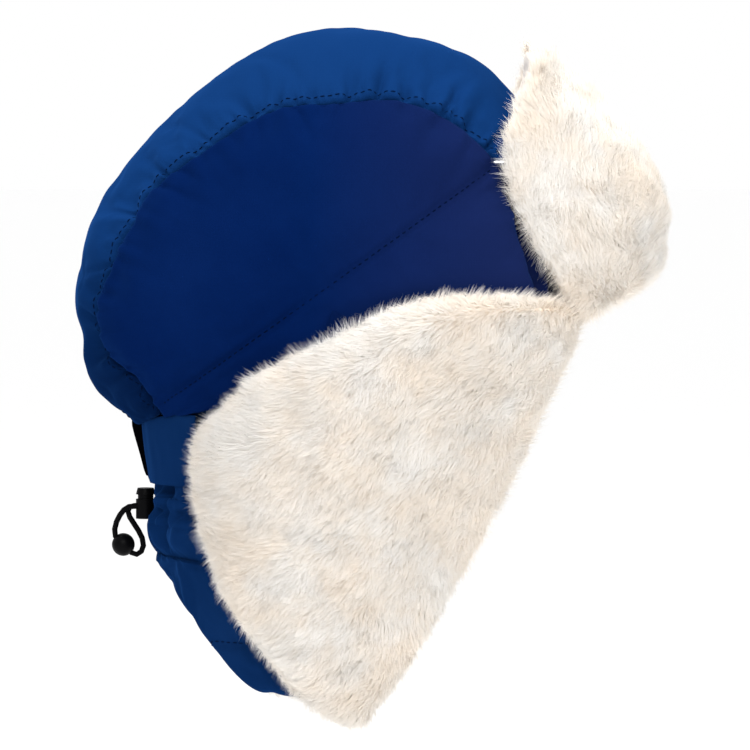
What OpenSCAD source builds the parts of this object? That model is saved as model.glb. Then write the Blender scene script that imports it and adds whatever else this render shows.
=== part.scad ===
// Padded trapper hat: a quilted crown, a fold-up fur visor, cheek flaps folded back as lapels and closed
// behind the head by tabs, and a neck guard with a drawcord. +X is the front, +Y the wearer's left and
// +Z up. The origin is the middle of the head opening, where the head holds the hat.

/* [Crown] */
// Half of the crown's outer width
half_w = 100; // [94:1:106]
// Height of the crown's widest point over the origin
centre_z = 35; // [33:1:37]
// Roundness of the crown across the head, where 2 is an ellipse
round_n = 2.4; // [2.3:0.1:2.6]
// Slope of the seam between the crown and the hood
band_slope = 0.24; // [0.22:0.01:0.26]
// Depth of the seam grooves between padded panels
puff = 4; // [2:0.5:5]

/* [Layers] */
// Thickness of the woven shell
shell_t = 1.4; // [1:0.1:2]
// Thickness of the wadding
wadding_t = 8; // [6:0.5:9]
// Thickness of the quilted lining
lining_t = 1.6; // [1:0.1:2]
// Thickness of the fur inside the hood
lining_fur_t = 7; // [5:0.5:8]
// Clearance between neighbouring layers and panels
gap = 0.4; // [0.3:0.1:0.6]

/* [Hood] */
// Height of the seam between the neck guard and the ear flaps
guard_z = -87; // [-88:1:-86]
// Height of the middle of the drawcord channel
channel_z = -63; // [-64:1:-62]
// Width of the drawcord channel
channel_w = 14; // [12:1:15]
// How far the drawcord channel stands out
channel_bulge = 3.6; // [3.4:0.1:4]
// Where along the hat the neck guard meets the cheek panels
cheek_x = -5; // [-8:1:-3]
// Share of its width that the hood loses below the ears
hood_taper = 0.12; // [0.1:0.01:0.14]

/* [Lapels] */
// Clearance between a lapel and the cheek at its fold
fold_gap = 1; // [0.8:0.1:1.5]
// How much further out a lapel lies away from its fold
lapel_lift = 4.5; // [4:0.5:6]
// Thickness of a lapel's wadding
lapel_wadding_t = 6; // [4:0.5:7]
// Thickness of a lapel's fur
lapel_fur_t = 11; // [8:0.5:13]

/* [Straps] */
// Width of the tabs
strap_w = 27; // [25:1:27]
// Height of the tabs' middle line
strap_z = -39; // [-39.5:0.5:-39]
// Thickness of a tab
strap_t = 1.4; // [1.2:0.1:1.8]
// Width of the hook and loop tape
tape_w = 24; // [20:1:25]

/* [Visor] */
// Half of the visor's width at its fold
visor_half_w = 72; // [68:1:74]
// Thickness of the visor's wadding
visor_wadding_t = 6; // [4:0.5:7]
// Thickness of the visor's fur
visor_fur_t = 13; // [10:0.5:14]
// Wire diameter of the hooks and eyes that hold the visor up
hook_wire = 1; // [0.8:0.1:1]

/* [Cord] */
// Diameter of the elastic drawcord
cord_d = 2.7; // [2.5:0.1:2.8]
// Diameter of the bead on the cord's loop
bead_d = 11; // [10:0.5:12]
// Diameter of the cord lock's body
lock_d = 9.4; // [9.2:0.1:9.6]
// Height of the cord lock's body
lock_h = 9.4; // [9:0.2:9.6]
// Travel of the cord lock's button
button_travel = 2; // [1.6:0.1:2.2]

/* [Hidden] */

navy = [0.05, 0.15, 0.42];
dark_navy = [0.04, 0.10, 0.30];
cream = [0.95, 0.92, 0.86];
white = [0.93, 0.93, 0.91];
black = [0.06, 0.06, 0.07];
silver = [0.78, 0.79, 0.80];

// Outline of the hat from the side: angle about the crown's middle, and distance to the outline.
PROFILE = [
    [-10, 134], [0, 138], [20, 134], [40, 132], [60, 133], [90, 131], [110, 124], [125, 119], [140, 118],
    [155, 120], [168, 123], [180, 125], [190, 122], [200, 117], [208, 111], [214, 108], [222, 113],
    [230, 127], [236, 143], [243, 170], [250, 215], [260, 262], [270, 300], [280, 235], [295, 170],
    [320, 131], [340, 130], [350, 134], [360, 138], [370, 136]
];
// Seam between the side panels and the gusset, as a share of the outline's distance.
SEAM = [
    [-30, 0.72], [-10, 0.73], [20, 0.77], [41, 0.79], [70, 0.785], [90, 0.745], [105, 0.785], [131, 0.825],
    [146, 0.855], [160, 0.885], [180, 0.915], [196, 0.935], [214, 0.92], [230, 0.91]
];
// Back of the hood: height, and distance behind the origin.
BACK = [
    [-180, 80], [-120, 80], [-88, 81.5], [-82, 82.5], [-76, 82], [-70, 80], [-63, 79], [-50, 80],
    [-25, 82.6], [0, 84], [20, 86]
];
// Hem of the hood: place from the middle of the back (0) to the face edge (2), and height.
HEM = [
    [-0.2, -92], [0, -91], [0.2, -97], [0.36, -109], [0.51, -127], [0.68, -149], [0.8, -153],
    [1, -155], [2, -166], [2.2, -168]
];
// Free edge of a lapel from its top front corner round to its lower tip, as [x, z].
LAPEL_EDGE = [
    [106, 28], [80, 31], [55, 32], [31, 29], [7, 19], [-17, 9], [-34, 0], [-48, -14], [-60, -26],
    [-66, -37], [-66, -48], [-62, -70], [-54, -92], [-38, -118], [-16, -145], [4, -161]
];
fold_top = [113, 27];
fold_bottom = [7, -166];

crown_back_phi = 212;
front_top_phi = 40;
brow_phi = 10;
brow_drop_phi = 16;
side_edge_clear = 0.3;

// Catmull-Rom curve through rows of a key and one or more values.
function row_of(rows, x, i = 0) =
    (i >= len(rows) - 2 || x < rows[i + 1][0]) ? i : row_of(rows, x, i + 1);
function slope_at(rows, i) =
    let(a = max(i - 1, 0), b = min(i + 1, len(rows) - 1))
    (rows[b] - rows[a]) / (rows[b][0] - rows[a][0]);
function curve(rows, x) =
    let(
        i = row_of(rows, x),
        h = rows[i + 1][0] - rows[i][0],
        t = (x - rows[i][0]) / h,
        m0 = slope_at(rows, i) * h,
        m1 = slope_at(rows, i + 1) * h
    )
    rows[i] * (2 * t^3 - 3 * t^2 + 1) + m0 * (t^3 - 2 * t^2 + t)
        + rows[i + 1] * (3 * t^2 - 2 * t^3) + m1 * (t^3 - t^2);
function value(rows, x) = curve(rows, x)[1];
// The same curve through points that have no key, where u runs from 0 to 1.
function keyed(points) = [for (i = [0:len(points) - 1]) [i / (len(points) - 1), points[i][0], points[i][1]]];
function along(points, u) = let(p = curve(keyed(points), u)) [p[1], p[2]];
function smooth(t) = let(c = max(0, min(1, t))) c * c * (3 - 2 * c);
function mix(a, b, t) = a * (1 - t) + b * t;

// The hat's surface, with depth measured inwards from it.
function around(phi) = phi < -10 ? phi + 360 : (phi > 370 ? phi - 360 : phi);
function radius(phi) = value(PROFILE, around(phi));
function width_at(z) = half_w * (1 - hood_taper * smooth(-z / 80));
function q_of(beta) = pow(cos(beta), 2 / round_n);
function g_of(beta) = pow(sin(beta), 2 / round_n);
function beta_of(q) = acos(pow(min(q, 1), round_n / 2));
function crown_point(phi, beta, depth) =
    let(
        r = (radius(phi) - depth) * q_of(beta),
        z = centre_z + r * sin(phi)
    )
    [r * cos(phi), -(width_at(z) - depth) * g_of(beta), z];
function side_y(x, z) =
    let(q = min(norm([x, z - centre_z]) / radius(atan2(z - centre_z, x)), 0.995))
    width_at(z) * pow(1 - pow(q, round_n), 1 / round_n);

// Edge of a side panel: the gusset seam above, the band seam below.
function seam_beta(phi) = beta_of(value(SEAM, phi));
function band_reach(phi) =
    let(fall = band_slope * cos(phi) - sin(phi)) fall > 0.05 ? centre_z / fall : 1000;
function seam_reach(phi) =
    let(p = phi > 235 ? phi - 360 : phi) p < -30 ? 1000 : radius(phi) * value(SEAM, p);
function side_reach(phi) = min(seam_reach(phi), band_reach(phi)) - side_edge_clear;

// The hood's surface: s is 0 at the middle of the back, 1 at the cheek seam and 2 at the face edge.
function fold_x(z) = fold_top[0] + (fold_bottom[0] - fold_top[0]) * (fold_top[1] - z)
    / (fold_top[1] - fold_bottom[1]);
function hood_point(s, z, depth) =
    abs(s) <= 1
    ? [
        cheek_x - (cheek_x + value(BACK, z) - depth) * cos(90 * s),
        -(side_y(cheek_x, z) - depth) * sin(90 * s), z
    ]
    : let(x = mix(cheek_x, fold_x(z), abs(s) - 1)) [x, -sign(s) * (side_y(x, z) - depth), z];

// Closed solid between two grids of points: near and far are functions of u and v from 0 to 1.
module slab(nu, nv, near, far) {
    n = (nu + 1) * (nv + 1);
    points = concat(
        [for (i = [0:nu], j = [0:nv]) near(i / nu, j / nv)],
        [for (i = [0:nu], j = [0:nv]) far(i / nu, j / nv)]
    );
    function at(i, j) = i * (nv + 1) + j;
    polyhedron(points, concat(
        [for (i = [0:nu - 1], j = [0:nv - 1], k = [0, 1]) k == 0
            ? [at(i, j), at(i, j + 1), at(i + 1, j)] : [at(i + 1, j), at(i, j + 1), at(i + 1, j + 1)]],
        [for (i = [0:nu - 1], j = [0:nv - 1], k = [0, 1]) k == 0
            ? [n + at(i, j), n + at(i + 1, j), n + at(i, j + 1)]
            : [n + at(i + 1, j), n + at(i + 1, j + 1), n + at(i, j + 1)]],
        [for (i = [0:nu - 1], k = [0, 1]) k == 0
            ? [at(i, 0), at(i + 1, 0), n + at(i, 0)] : [at(i + 1, 0), n + at(i + 1, 0), n + at(i, 0)]],
        [for (i = [0:nu - 1], k = [0, 1]) k == 0
            ? [at(i, nv), n + at(i, nv), at(i + 1, nv)]
            : [at(i + 1, nv), n + at(i, nv), n + at(i + 1, nv)]],
        [for (j = [0:nv - 1], k = [0, 1]) k == 0
            ? [at(0, j), n + at(0, j), at(0, j + 1)] : [at(0, j + 1), n + at(0, j), n + at(0, j + 1)]],
        [for (j = [0:nv - 1], k = [0, 1]) k == 0
            ? [at(nu, j), at(nu, j + 1), n + at(nu, j)]
            : [at(nu, j + 1), n + at(nu, j + 1), n + at(nu, j)]]
    ), convexity = 6);
}

// Closed solid of a round panel: near and far are functions of an angle and of t from its middle out.
module round_slab(np, nt, near, far) {
    n = np * nt + 1;
    points = concat(
        [near(0, 0)], [for (j = [1:nt], i = [0:np - 1]) near(360 * i / np, j / nt)],
        [far(0, 0)], [for (j = [1:nt], i = [0:np - 1]) far(360 * i / np, j / nt)]
    );
    function at(i, j) = j == 0 ? 0 : 1 + (j - 1) * np + i % np;
    polyhedron(points, concat(
        [for (i = [0:np - 1]) [0, at(i, 1), at(i + 1, 1)]],
        [for (i = [0:np - 1]) [n, n + at(i + 1, 1), n + at(i, 1)]],
        [for (j = [1:nt - 1], i = [0:np - 1], k = [0, 1]) k == 0
            ? [at(i, j), at(i, j + 1), at(i + 1, j)] : [at(i + 1, j), at(i, j + 1), at(i + 1, j + 1)]],
        [for (j = [1:nt - 1], i = [0:np - 1], k = [0, 1]) k == 0
            ? [n + at(i, j), n + at(i + 1, j), n + at(i, j + 1)]
            : [n + at(i + 1, j), n + at(i + 1, j + 1), n + at(i, j + 1)]],
        [for (i = [0:np - 1], k = [0, 1]) k == 0
            ? [at(i, nt), n + at(i, nt), at(i + 1, nt)]
            : [at(i + 1, nt), n + at(i, nt), n + at(i + 1, nt)]]
    ), convexity = 6);
}

// Round tube swept along a list of points.
module tube(path, d, sides) {
    m = len(path);
    function heading(k) = let(v = path[min(k + 1, m - 1)] - path[max(k - 1, 0)]) v / norm(v);
    function side_of(k) =
        let(h = heading(k), w = abs(h[2]) > 0.9 ? [1, 0, 0] : [0, 0, 1], c = cross(h, w)) c / norm(c);
    // Each ring keeps the last ring's side direction as far as its own heading allows.
    function frames(k, last) =
        let(h = heading(k), c = last - h * (last * h), s = c / norm(c))
        k >= m ? [] : concat([s], frames(k + 1, s));
    sides_dir = frames(0, side_of(0));
    points = [for (k = [0:m - 1], i = [0:sides - 1])
        path[k] + d / 2 * (sides_dir[k] * cos(360 * i / sides)
            + cross(heading(k), sides_dir[k]) * sin(360 * i / sides))];
    faces = concat(
        [[for (i = [0:sides - 1]) i]],
        [[for (i = [0:sides - 1]) m * sides - 1 - i]],
        [for (k = [0:m - 2], i = [0:sides - 1], c = [0, 1]) let(a = k * sides + i, b = k * sides + (i + 1) % sides)
            c == 0 ? [a, a + sides, b] : [b, a + sides, b + sides]]
    );
    polyhedron(points, faces, convexity = 6);
}

module left() {
    mirror([0, 1, 0]) children();
}

// ---- Crown ----

// Depth under the outline of a layer that starts at one depth in a seam and another between seams.
function sink(u) = puff * (1 - pow(sin(180 * u), 0.6));
function side_point(phi, t, depth) =
    let(q = t * side_reach(phi) / radius(phi)) crown_point(phi, beta_of(q), depth + puff * pow(t, 8));

module side_layer(np, nt, depth, thick) {
    round_slab(np, nt,
        function(phi, t) side_point(phi, t, depth + thick),
        function(phi, t) side_point(phi, t, depth));
}

module top_layer(nu, nv, depth, thick, phi0, phi1) {
    // The panel runs from just off the middle seam to just off the side seam.
    function beta(phi, v) = mix(0.25, seam_beta(phi) - 0.3, v);
    function at(u, v, d) = let(phi = mix(phi0, phi1, u)) crown_point(phi, beta(phi, v), d + sink(v));
    slab(nu, nv, function(u, v) at(u, v, depth + thick), function(u, v) at(u, v, depth));
}

// A layer across the whole gusset, which may be sunk under the middle seam too.
module gusset_layer(nu, nv, depth, thick, phi_low, phi_high, seamed) {
    function at(u, v, d) =
        let(
            side = abs(2 * v - 1),
            phi = mix(phi_low(side), phi_high, u),
            beta = seam_beta(phi) * 0.985 * side,
            p = crown_point(phi, beta, d + (seamed ? sink(side) : puff * pow(side, 6)))
        )
        v < 0.5 ? p : [p[0], -p[1], p[2]];
    slab(nu, nv, function(u, v) at(u, v, depth + thick), function(u, v) at(u, v, depth));
}

wadding_depth = shell_t + gap;
lining_depth = wadding_depth + wadding_t + gap;
function brow(side) = brow_phi - brow_drop_phi * side^2;

module crown_side_panel_right() {
    color(navy) side_layer(40, 6, 0, shell_t);
}
module crown_side_panel_left() {
    color(navy) left() side_layer(40, 6, 0, shell_t);
}
module crown_top_panel_right() {
    color(navy) top_layer(34, 5, 0, shell_t, front_top_phi + 0.4, crown_back_phi);
}
module crown_top_panel_left() {
    color(navy) left() top_layer(34, 5, 0, shell_t, front_top_phi + 0.4, crown_back_phi);
}
module crown_front_panel() {
    color(dark_navy) gusset_layer(6, 14, 0, shell_t, function(side) brow(side), front_top_phi - 0.4, false);
}
module crown_side_wadding_right() {
    color(white) side_layer(40, 6, wadding_depth, wadding_t);
}
module crown_side_wadding_left() {
    color(white) left() side_layer(40, 6, wadding_depth, wadding_t);
}
module crown_top_wadding() {
    color(white) gusset_layer(26, 10, wadding_depth, wadding_t, function(side) brow(side), crown_back_phi, true);
}
module crown_side_lining_right() {
    color(cream) side_layer(40, 6, lining_depth, lining_t);
}
module crown_side_lining_left() {
    color(cream) left() side_layer(40, 6, lining_depth, lining_t);
}
module crown_top_lining() {
    color(cream) gusset_layer(26, 10, lining_depth, lining_t, function(side) brow(side), crown_back_phi, true);
}

// ---- Hood: neck guard, cheeks and ear flaps ----

hood_fur_depth = shell_t + wadding_t / 2 + 2 * gap;

// The neck guard's top edge follows the band seam.
function band_z(x) = band_slope * x - 0.4;
function guard_point(s, v, low_z, depth) =
    let(top = hood_point(s, -15, depth), z = mix(band_z(top[0]), low_z, v)) hood_point(s, z, depth);

module guard_layer(nu, nv, depth, thick) {
    function at(u, v, d) = guard_point(mix(0.985, -0.985, u), v, guard_z - 0.5, d);
    slab(nu, nv, function(u, v) at(u, v, depth + thick), function(u, v) at(u, v, depth));
}

module neck_guard_panel() {
    color(navy) guard_layer(22, 6, 0, shell_t);
}
module neck_guard_wadding() {
    color(white) guard_layer(22, 6, shell_t + gap, wadding_t / 2);
}
module neck_guard_fur() {
    color(cream) guard_layer(22, 6, hood_fur_depth, lining_fur_t);
}

// The channel is a strip sewn over the neck guard. The cord leaves it through an eyelet at the back.
channel_end = 0.94;
channel_lift = 0.6;
channel_t = 1;
eyelet_x = -85;
eyelet_bore = 7;
eyelet_neck = 8;
eyelet_d = 10;
eyelet_h = 1.5;
module channel_strip() {
    function at(u, v, lift) =
        let(z = channel_z + channel_w * (0.5 - v))
        hood_point(mix(channel_end, -channel_end, u), z, -lift - channel_bulge * sin(180 * v) ^ 0.7);
    slab(26, 6, function(u, v) at(u, v, channel_lift), function(u, v) at(u, v, channel_lift + channel_t));
}
module cord_channel() {
    color(navy) difference() {
        channel_strip();
        translate([eyelet_x, 0, channel_z]) rotate([0, 90, 0])
            cylinder(d = eyelet_neck + 0.4, h = 8, center = true, $fn = 32);
    }
}
// The eyelet's flange lies outside the strip, round the hole.
module cord_eyelet() {
    color(black) translate([eyelet_x, 0, channel_z]) rotate([0, 90, 0])
        rotate_extrude($fn = 48) polygon([
            [eyelet_bore / 2, -0.2], [eyelet_d / 2, -0.2], [eyelet_d / 2, 0.5],
            [eyelet_neck / 2, 0.5], [eyelet_neck / 2, eyelet_h], [eyelet_bore / 2, eyelet_h]
        ]);
}

module cheek_layer(nu, nv, depth, thick) {
    // The quadrilateral between the band seam, the fold, the channel seam and the cheek seam.
    top_back = [cheek_x + 1, band_z(cheek_x + 1)];
    top_front = [fold_top[0] - 1, band_z(fold_top[0] - 1)];
    low_front = [fold_x(guard_z + 0.5) - 1, guard_z + 0.5];
    low_back = [cheek_x + 1, guard_z + 0.5];
    function at(u, v, d) =
        let(p = mix(mix(top_back, low_back, v), mix(top_front, low_front, v), u))
        [p[0], -(side_y(p[0], p[1]) - d), p[1]];
    slab(nu, nv, function(u, v) at(u, v, depth + thick), function(u, v) at(u, v, depth));
}
module cheek_panel_right() {
    color(navy) cheek_layer(12, 8, 0, shell_t);
}
module cheek_panel_left() {
    color(navy) left() cheek_layer(12, 8, 0, shell_t);
}
module cheek_fur_right() {
    color(cream) cheek_layer(10, 6, shell_t + gap, hood_fur_depth + lining_fur_t - shell_t - gap);
}
module cheek_fur_left() {
    color(cream) left() cheek_layer(10, 6, shell_t + gap, hood_fur_depth + lining_fur_t - shell_t - gap);
}

module ear_flap_layer(nu, nv, depth, thick) {
    function at(u, v, d) =
        let(s = mix(0.05, 1.985, u), z = mix(guard_z - 1, value(HEM, s), v)) hood_point(s, z, d);
    slab(nu, nv, function(u, v) at(u, v, depth + thick), function(u, v) at(u, v, depth));
}
module ear_flap_right() {
    color(navy) ear_flap_layer(18, 6, 0, shell_t);
}
module ear_flap_left() {
    color(navy) left() ear_flap_layer(18, 6, 0, shell_t);
}
module ear_flap_fur_right() {
    color(cream) ear_flap_layer(14, 5, shell_t + gap, hood_fur_depth + lining_fur_t - shell_t - gap);
}
module ear_flap_fur_left() {
    color(cream) left() ear_flap_layer(14, 5, shell_t + gap, hood_fur_depth + lining_fur_t - shell_t - gap);
}

// ---- Lapels ----

fold_dir = (fold_bottom - fold_top) / norm(fold_bottom - fold_top);
function fold_distance(p) = let(v = p - fold_top) abs(v[0] * fold_dir[1] - v[1] * fold_dir[0]);
function lapel_point(u, v, out) =
    let(
        fold = mix(fold_top + fold_dir * 1, fold_bottom - fold_dir * 2, u),
        p = mix(fold, along(LAPEL_EDGE, u), v),
        d = fold_distance(p)
    )
    [p[0], -(side_y(p[0], p[1]) + fold_gap + lapel_lift * smooth(d / 60) + out), p[1]];
module lapel_layer(out, thick) {
    function at(u, v, o) = lapel_point(mix(0.02, 0.98, u), mix(0.02, 1, v), o);
    slab(20, 7, function(u, v) at(u, v, out), function(u, v) at(u, v, out + thick));
}
lapel_wadding_out = shell_t + gap;
lapel_fur_out = lapel_wadding_out + lapel_wadding_t + gap;
module lapel_shell_right() {
    color(navy) lapel_layer(0, shell_t);
}
module lapel_shell_left() {
    color(navy) left() lapel_layer(0, shell_t);
}
module lapel_wadding_right() {
    color(white) lapel_layer(lapel_wadding_out, lapel_wadding_t);
}
module lapel_wadding_left() {
    color(white) left() lapel_layer(lapel_wadding_out, lapel_wadding_t);
}
module lapel_fur_right() {
    color(cream) lapel_layer(lapel_fur_out, lapel_fur_t);
}
module lapel_fur_left() {
    color(cream) left() lapel_layer(lapel_fur_out, lapel_fur_t);
}

// ---- Tabs that close the lapels behind the head ----

// The right tab lies over the left one. Distances are out from the neck guard.
strap_root = 0.485;
right_end = 0.16;
left_end = -0.30;
tab_out = 3.6;
over_out = 9.8;
bow = 6.8;
function right_out(s) = mix(over_out, tab_out, smooth((s - 0.2) / 0.25));
// The left tab bows away from the neck where nothing holds it down.
function left_out(s) = tab_out + bow * smooth((s + 0.16) / 0.12) * smooth((0.4 - s) / 0.3);
module tab(nu, s0, s1, out, width, slant, thick, lift) {
    function at(u, v, o) =
        let(s = mix(s0, s1, u), z = strap_z + width * (0.5 - v))
        hood_point(s + slant * (v - 0.5) * u, z, -(out(s) + o));
    slab(nu, 2, function(u, v) at(u, v, lift), function(u, v) at(u, v, lift + thick));
}
module strap_right() {
    color(navy) tab(14, strap_root, right_end, function(s) right_out(s), strap_w, 0.03, strap_t, 0);
}
module loop_tape() {
    color(dark_navy) tab(10, 0.42, right_end + 0.02, function(s) right_out(s), tape_w, 0.03, 0.7, -0.9);
}
module strap_left() {
    color(navy) left() tab(20, strap_root, left_end, function(s) left_out(s), strap_w, 0, strap_t, 0);
}
module hook_tape() {
    color(black) left()
        tab(12, 0.14, left_end + 0.02, function(s) left_out(s), tape_w, 0, 0.8, strap_t + 0.3);
}

// ---- Visor ----

// Sides and middle of the visor's back face, from the fold to the free edge, as [x, z].
VISOR_MIDDLE = [[141, 60], [139, 82], [127, 106], [112, 129], [98, 149]];
VISOR_SIDE = [[111, 36], [100, 62], [90, 90], [86, 115], [87, 141]];
function visor_point(u, v, out) =
    let(
        side = abs(u),
        m = along(VISOR_MIDDLE, v),
        e = along(VISOR_SIDE, v),
        w = pow(side, 2.2),
        // The free corners are round.
        round_in = 1 - 0.14 * smooth((v - 0.7) / 0.3)
    )
    [
        mix(m[0], e[0], w) + out * cos(55 * u),
        -visor_half_w * round_in * u - out * sin(55 * u),
        mix(m[1], e[1], w) + out * 0.12
    ];
module visor_layer(nu, nv, out, thick, inset) {
    function at(u, v, o) = visor_point(mix(1 - inset, inset - 1, u), mix(inset, 1 - inset, v), o);
    slab(nu, nv, function(u, v) at(u, v, out), function(u, v) at(u, v, out + thick));
}
visor_wadding_out = shell_t + gap;
visor_fur_out = visor_wadding_out + visor_wadding_t + gap;
module visor_backing() {
    color(navy) visor_layer(18, 8, 0, shell_t, 0);
}
module visor_wadding() {
    color(white) visor_layer(18, 8, visor_wadding_out, visor_wadding_t, 0.03);
}
module visor_fur() {
    color(cream) visor_layer(18, 8, visor_fur_out, visor_fur_t, 0);
}

// An eye on the crown, at the top of the side panel's front seam, and an open hook on the visor over it.
// The hook's end stops short, so that it lifts off as the visor swings forward and up.
hook_place = [80, -74.4, 103];
eye_r = 2.6;
hook_r = 1.5;
hook_sweep = 140;
shank_drop = 3;
shank_reach = 7;
module wire_arc(radius, angle) {
    rotate_extrude(angle = angle, $fn = 32) translate([radius, 0]) circle(d = hook_wire, $fn = 16);
}
module visor_hook() {
    translate(hook_place) {
        rotate([90, 0, 0]) wire_arc(hook_r, hook_sweep);
        translate([hook_r, 0, -shank_drop]) cylinder(d = hook_wire, h = shank_drop, $fn = 16);
        translate([hook_r, 0, -shank_drop]) sphere(d = hook_wire, $fn = 16);
        translate([hook_r, 0, -shank_drop]) rotate([0, 90, 0]) cylinder(d = hook_wire, h = shank_reach, $fn = 16);
    }
}
module visor_eye() {
    translate(hook_place - [eye_r, 0, 0]) wire_arc(eye_r, 360);
}
module visor_hook_right() {
    color(silver) visor_hook();
}
module visor_hook_left() {
    color(silver) left() visor_hook();
}
module visor_eye_right() {
    color(silver) visor_eye();
}
module visor_eye_left() {
    color(silver) left() visor_eye();
}

// ---- Drawcord, cord lock and bead ----

// The lock is a cup with a spring on its floor, a button over the spring, and a slot for the cord.
lock_x = -91;
lock_low_z = channel_z - 6;
lock_wall = 0.7;
lock_floor = 1.2;
spring_h = 2.6;
stem_d = lock_d - 2 * lock_wall - 0.5;
slot_w = 5.8;
slot_clear = 0.1;
button_head_d = 9.4;
button_head_h = 3;
button_rest = lock_low_z + lock_h + button_travel + 0.3;
stem_low = lock_low_z + lock_floor + spring_h;

module cord_slot(low_z, height) {
    translate([lock_x - lock_d, -slot_w / 2, low_z]) cube([2 * lock_d, slot_w, height]);
}
module cord_lock_body() {
    color(black) difference() {
        translate([lock_x, 0, lock_low_z]) cylinder(d = lock_d, h = lock_h, $fn = 48);
        translate([lock_x, 0, lock_low_z + lock_floor])
            cylinder(d = lock_d - 2 * lock_wall, h = lock_h, $fn = 48);
        cord_slot(channel_z - cord_d / 2 - slot_clear, cord_d + 2 * slot_clear);
    }
}
// The button's slot is taller than the cord by the travel, so that the button can be pressed home.
module cord_lock_button() {
    color(black) {
        difference() {
            translate([lock_x, 0, stem_low])
                cylinder(d = stem_d, h = button_rest - stem_low + 0.5, $fn = 48);
            cord_slot(channel_z - cord_d / 2 - slot_clear, cord_d + button_travel + 2 * slot_clear);
        }
        translate([lock_x, 0, button_rest])
            cylinder(d1 = button_head_d, d2 = button_head_d - 1.6, h = button_head_h, $fn = 48);
    }
}
module cord_lock_spring() {
    wire = 0.45;
    coil_r = 2.6;
    turns = 3;
    steps = 10;
    low = lock_low_z + lock_floor + wire / 2 + 0.05;
    rise = (spring_h - wire - 0.1) / turns;
    color(silver) tube([for (i = [0:turns * steps])
        [lock_x + coil_r * cos(360 * i / steps), coil_r * sin(360 * i / steps), low + rise * i / steps]],
        wire, 6);
}

// Each half of the cord lies in the channel, with its end turned out through the eyelet.
cord_lift = 2.4;
cord_half_gap = 1.5;
cord_join_x = -86.4;
function channel_cord(s) = hood_point(s, channel_z, -cord_lift);
module cord_half() {
    turned = [[-81.8, -5.2, channel_z], [-82.6, -2.7, channel_z], [-83.6, -1.6, channel_z],
        [cord_join_x, -cord_half_gap, channel_z]];
    tube(concat([for (i = [0:10]) channel_cord(mix(0.9, 0.08, i / 10))], turned), cord_d, 8);
}
module drawcord() {
    color(black) {
        cord_half();
        left() cord_half();
    }
}

// Free loop of cord from the lock's front through the bead and back.
LOOP = [
    [-86.4, -1.5, -63], [-91, -1.5, -63], [-96.6, -1.5, -63], [-99, -1.5, -63.3], [-101.4, -1.6, -64.8],
    [-103.4, -1.6, -67.4], [-105, -1.3, -70.6], [-105.9, -0.7, -74.2], [-105.6, -0.1, -77.6],
    [-103.8, 0, -79.6], [-101.8, 0, -81.6], [-99.8, 0, -83.6], [-97.9, 0, -85.5], [-95.4, 0.3, -86.4],
    [-93.2, 0.8, -85], [-92.2, 1.2, -82.2], [-92.8, 1.5, -78.6], [-94.6, 1.7, -75], [-96.8, 1.8, -71.6],
    [-98.7, 1.8, -68.6], [-99.6, 1.7, -65.8], [-98.8, 1.6, -63.8], [-96.6, 1.5, -63], [-91, 1.5, -63],
    [-86.4, 1.5, -63]
];
bead_place = [-101.8, 0, -81.6];
module cord_loop() {
    color(black) tube(LOOP, cord_d, 8);
}
module cord_bead() {
    color(black) translate(bead_place) difference() {
        sphere(d = bead_d, $fn = 48);
        rotate([0, 135, 0]) cylinder(d = cord_d + 0.7, h = bead_d + 2, center = true, $fn = 32);
    }
}

crown_side_panel_right();
crown_side_panel_left();
crown_top_panel_right();
crown_top_panel_left();
crown_front_panel();
crown_side_wadding_right();
crown_side_wadding_left();
crown_top_wadding();
crown_side_lining_right();
crown_side_lining_left();
crown_top_lining();
neck_guard_panel();
neck_guard_wadding();
neck_guard_fur();
cord_channel();
cord_eyelet();
drawcord();
cheek_panel_right();
cheek_panel_left();
cheek_fur_right();
cheek_fur_left();
ear_flap_right();
ear_flap_left();
ear_flap_fur_right();
ear_flap_fur_left();
lapel_shell_right();
lapel_shell_left();
lapel_wadding_right();
lapel_wadding_left();
lapel_fur_right();
lapel_fur_left();
strap_right();
strap_left();
loop_tape();
hook_tape();
visor_backing();
visor_wadding();
visor_fur();
visor_hook_right();
visor_hook_left();
visor_eye_right();
visor_eye_left();
cord_lock_body();
cord_lock_button();
cord_lock_spring();
cord_loop();
cord_bead();
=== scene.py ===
"""Trapper hat: the looks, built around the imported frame. Sizes below are in millimetres."""
import math

import bpy
import numpy as np
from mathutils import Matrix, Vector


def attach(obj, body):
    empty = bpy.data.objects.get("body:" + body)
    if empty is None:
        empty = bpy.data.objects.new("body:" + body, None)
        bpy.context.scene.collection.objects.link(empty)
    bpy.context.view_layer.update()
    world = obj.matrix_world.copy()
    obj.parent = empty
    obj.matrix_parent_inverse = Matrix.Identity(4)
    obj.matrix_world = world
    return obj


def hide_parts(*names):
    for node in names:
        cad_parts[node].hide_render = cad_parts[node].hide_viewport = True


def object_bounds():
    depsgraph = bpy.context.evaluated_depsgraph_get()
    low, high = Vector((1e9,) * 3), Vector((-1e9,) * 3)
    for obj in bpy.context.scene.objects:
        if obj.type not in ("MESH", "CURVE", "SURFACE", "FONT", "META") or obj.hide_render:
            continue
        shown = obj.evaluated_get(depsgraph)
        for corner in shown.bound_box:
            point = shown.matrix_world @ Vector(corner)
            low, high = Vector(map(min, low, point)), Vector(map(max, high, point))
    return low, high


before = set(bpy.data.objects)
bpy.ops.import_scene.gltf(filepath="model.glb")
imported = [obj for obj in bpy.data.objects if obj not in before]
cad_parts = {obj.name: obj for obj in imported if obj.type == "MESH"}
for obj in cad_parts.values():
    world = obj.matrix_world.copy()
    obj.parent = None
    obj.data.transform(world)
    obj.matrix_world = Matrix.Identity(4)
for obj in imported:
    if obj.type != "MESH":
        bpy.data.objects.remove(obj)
CAD_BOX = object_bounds()
MM = 0.001

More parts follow.
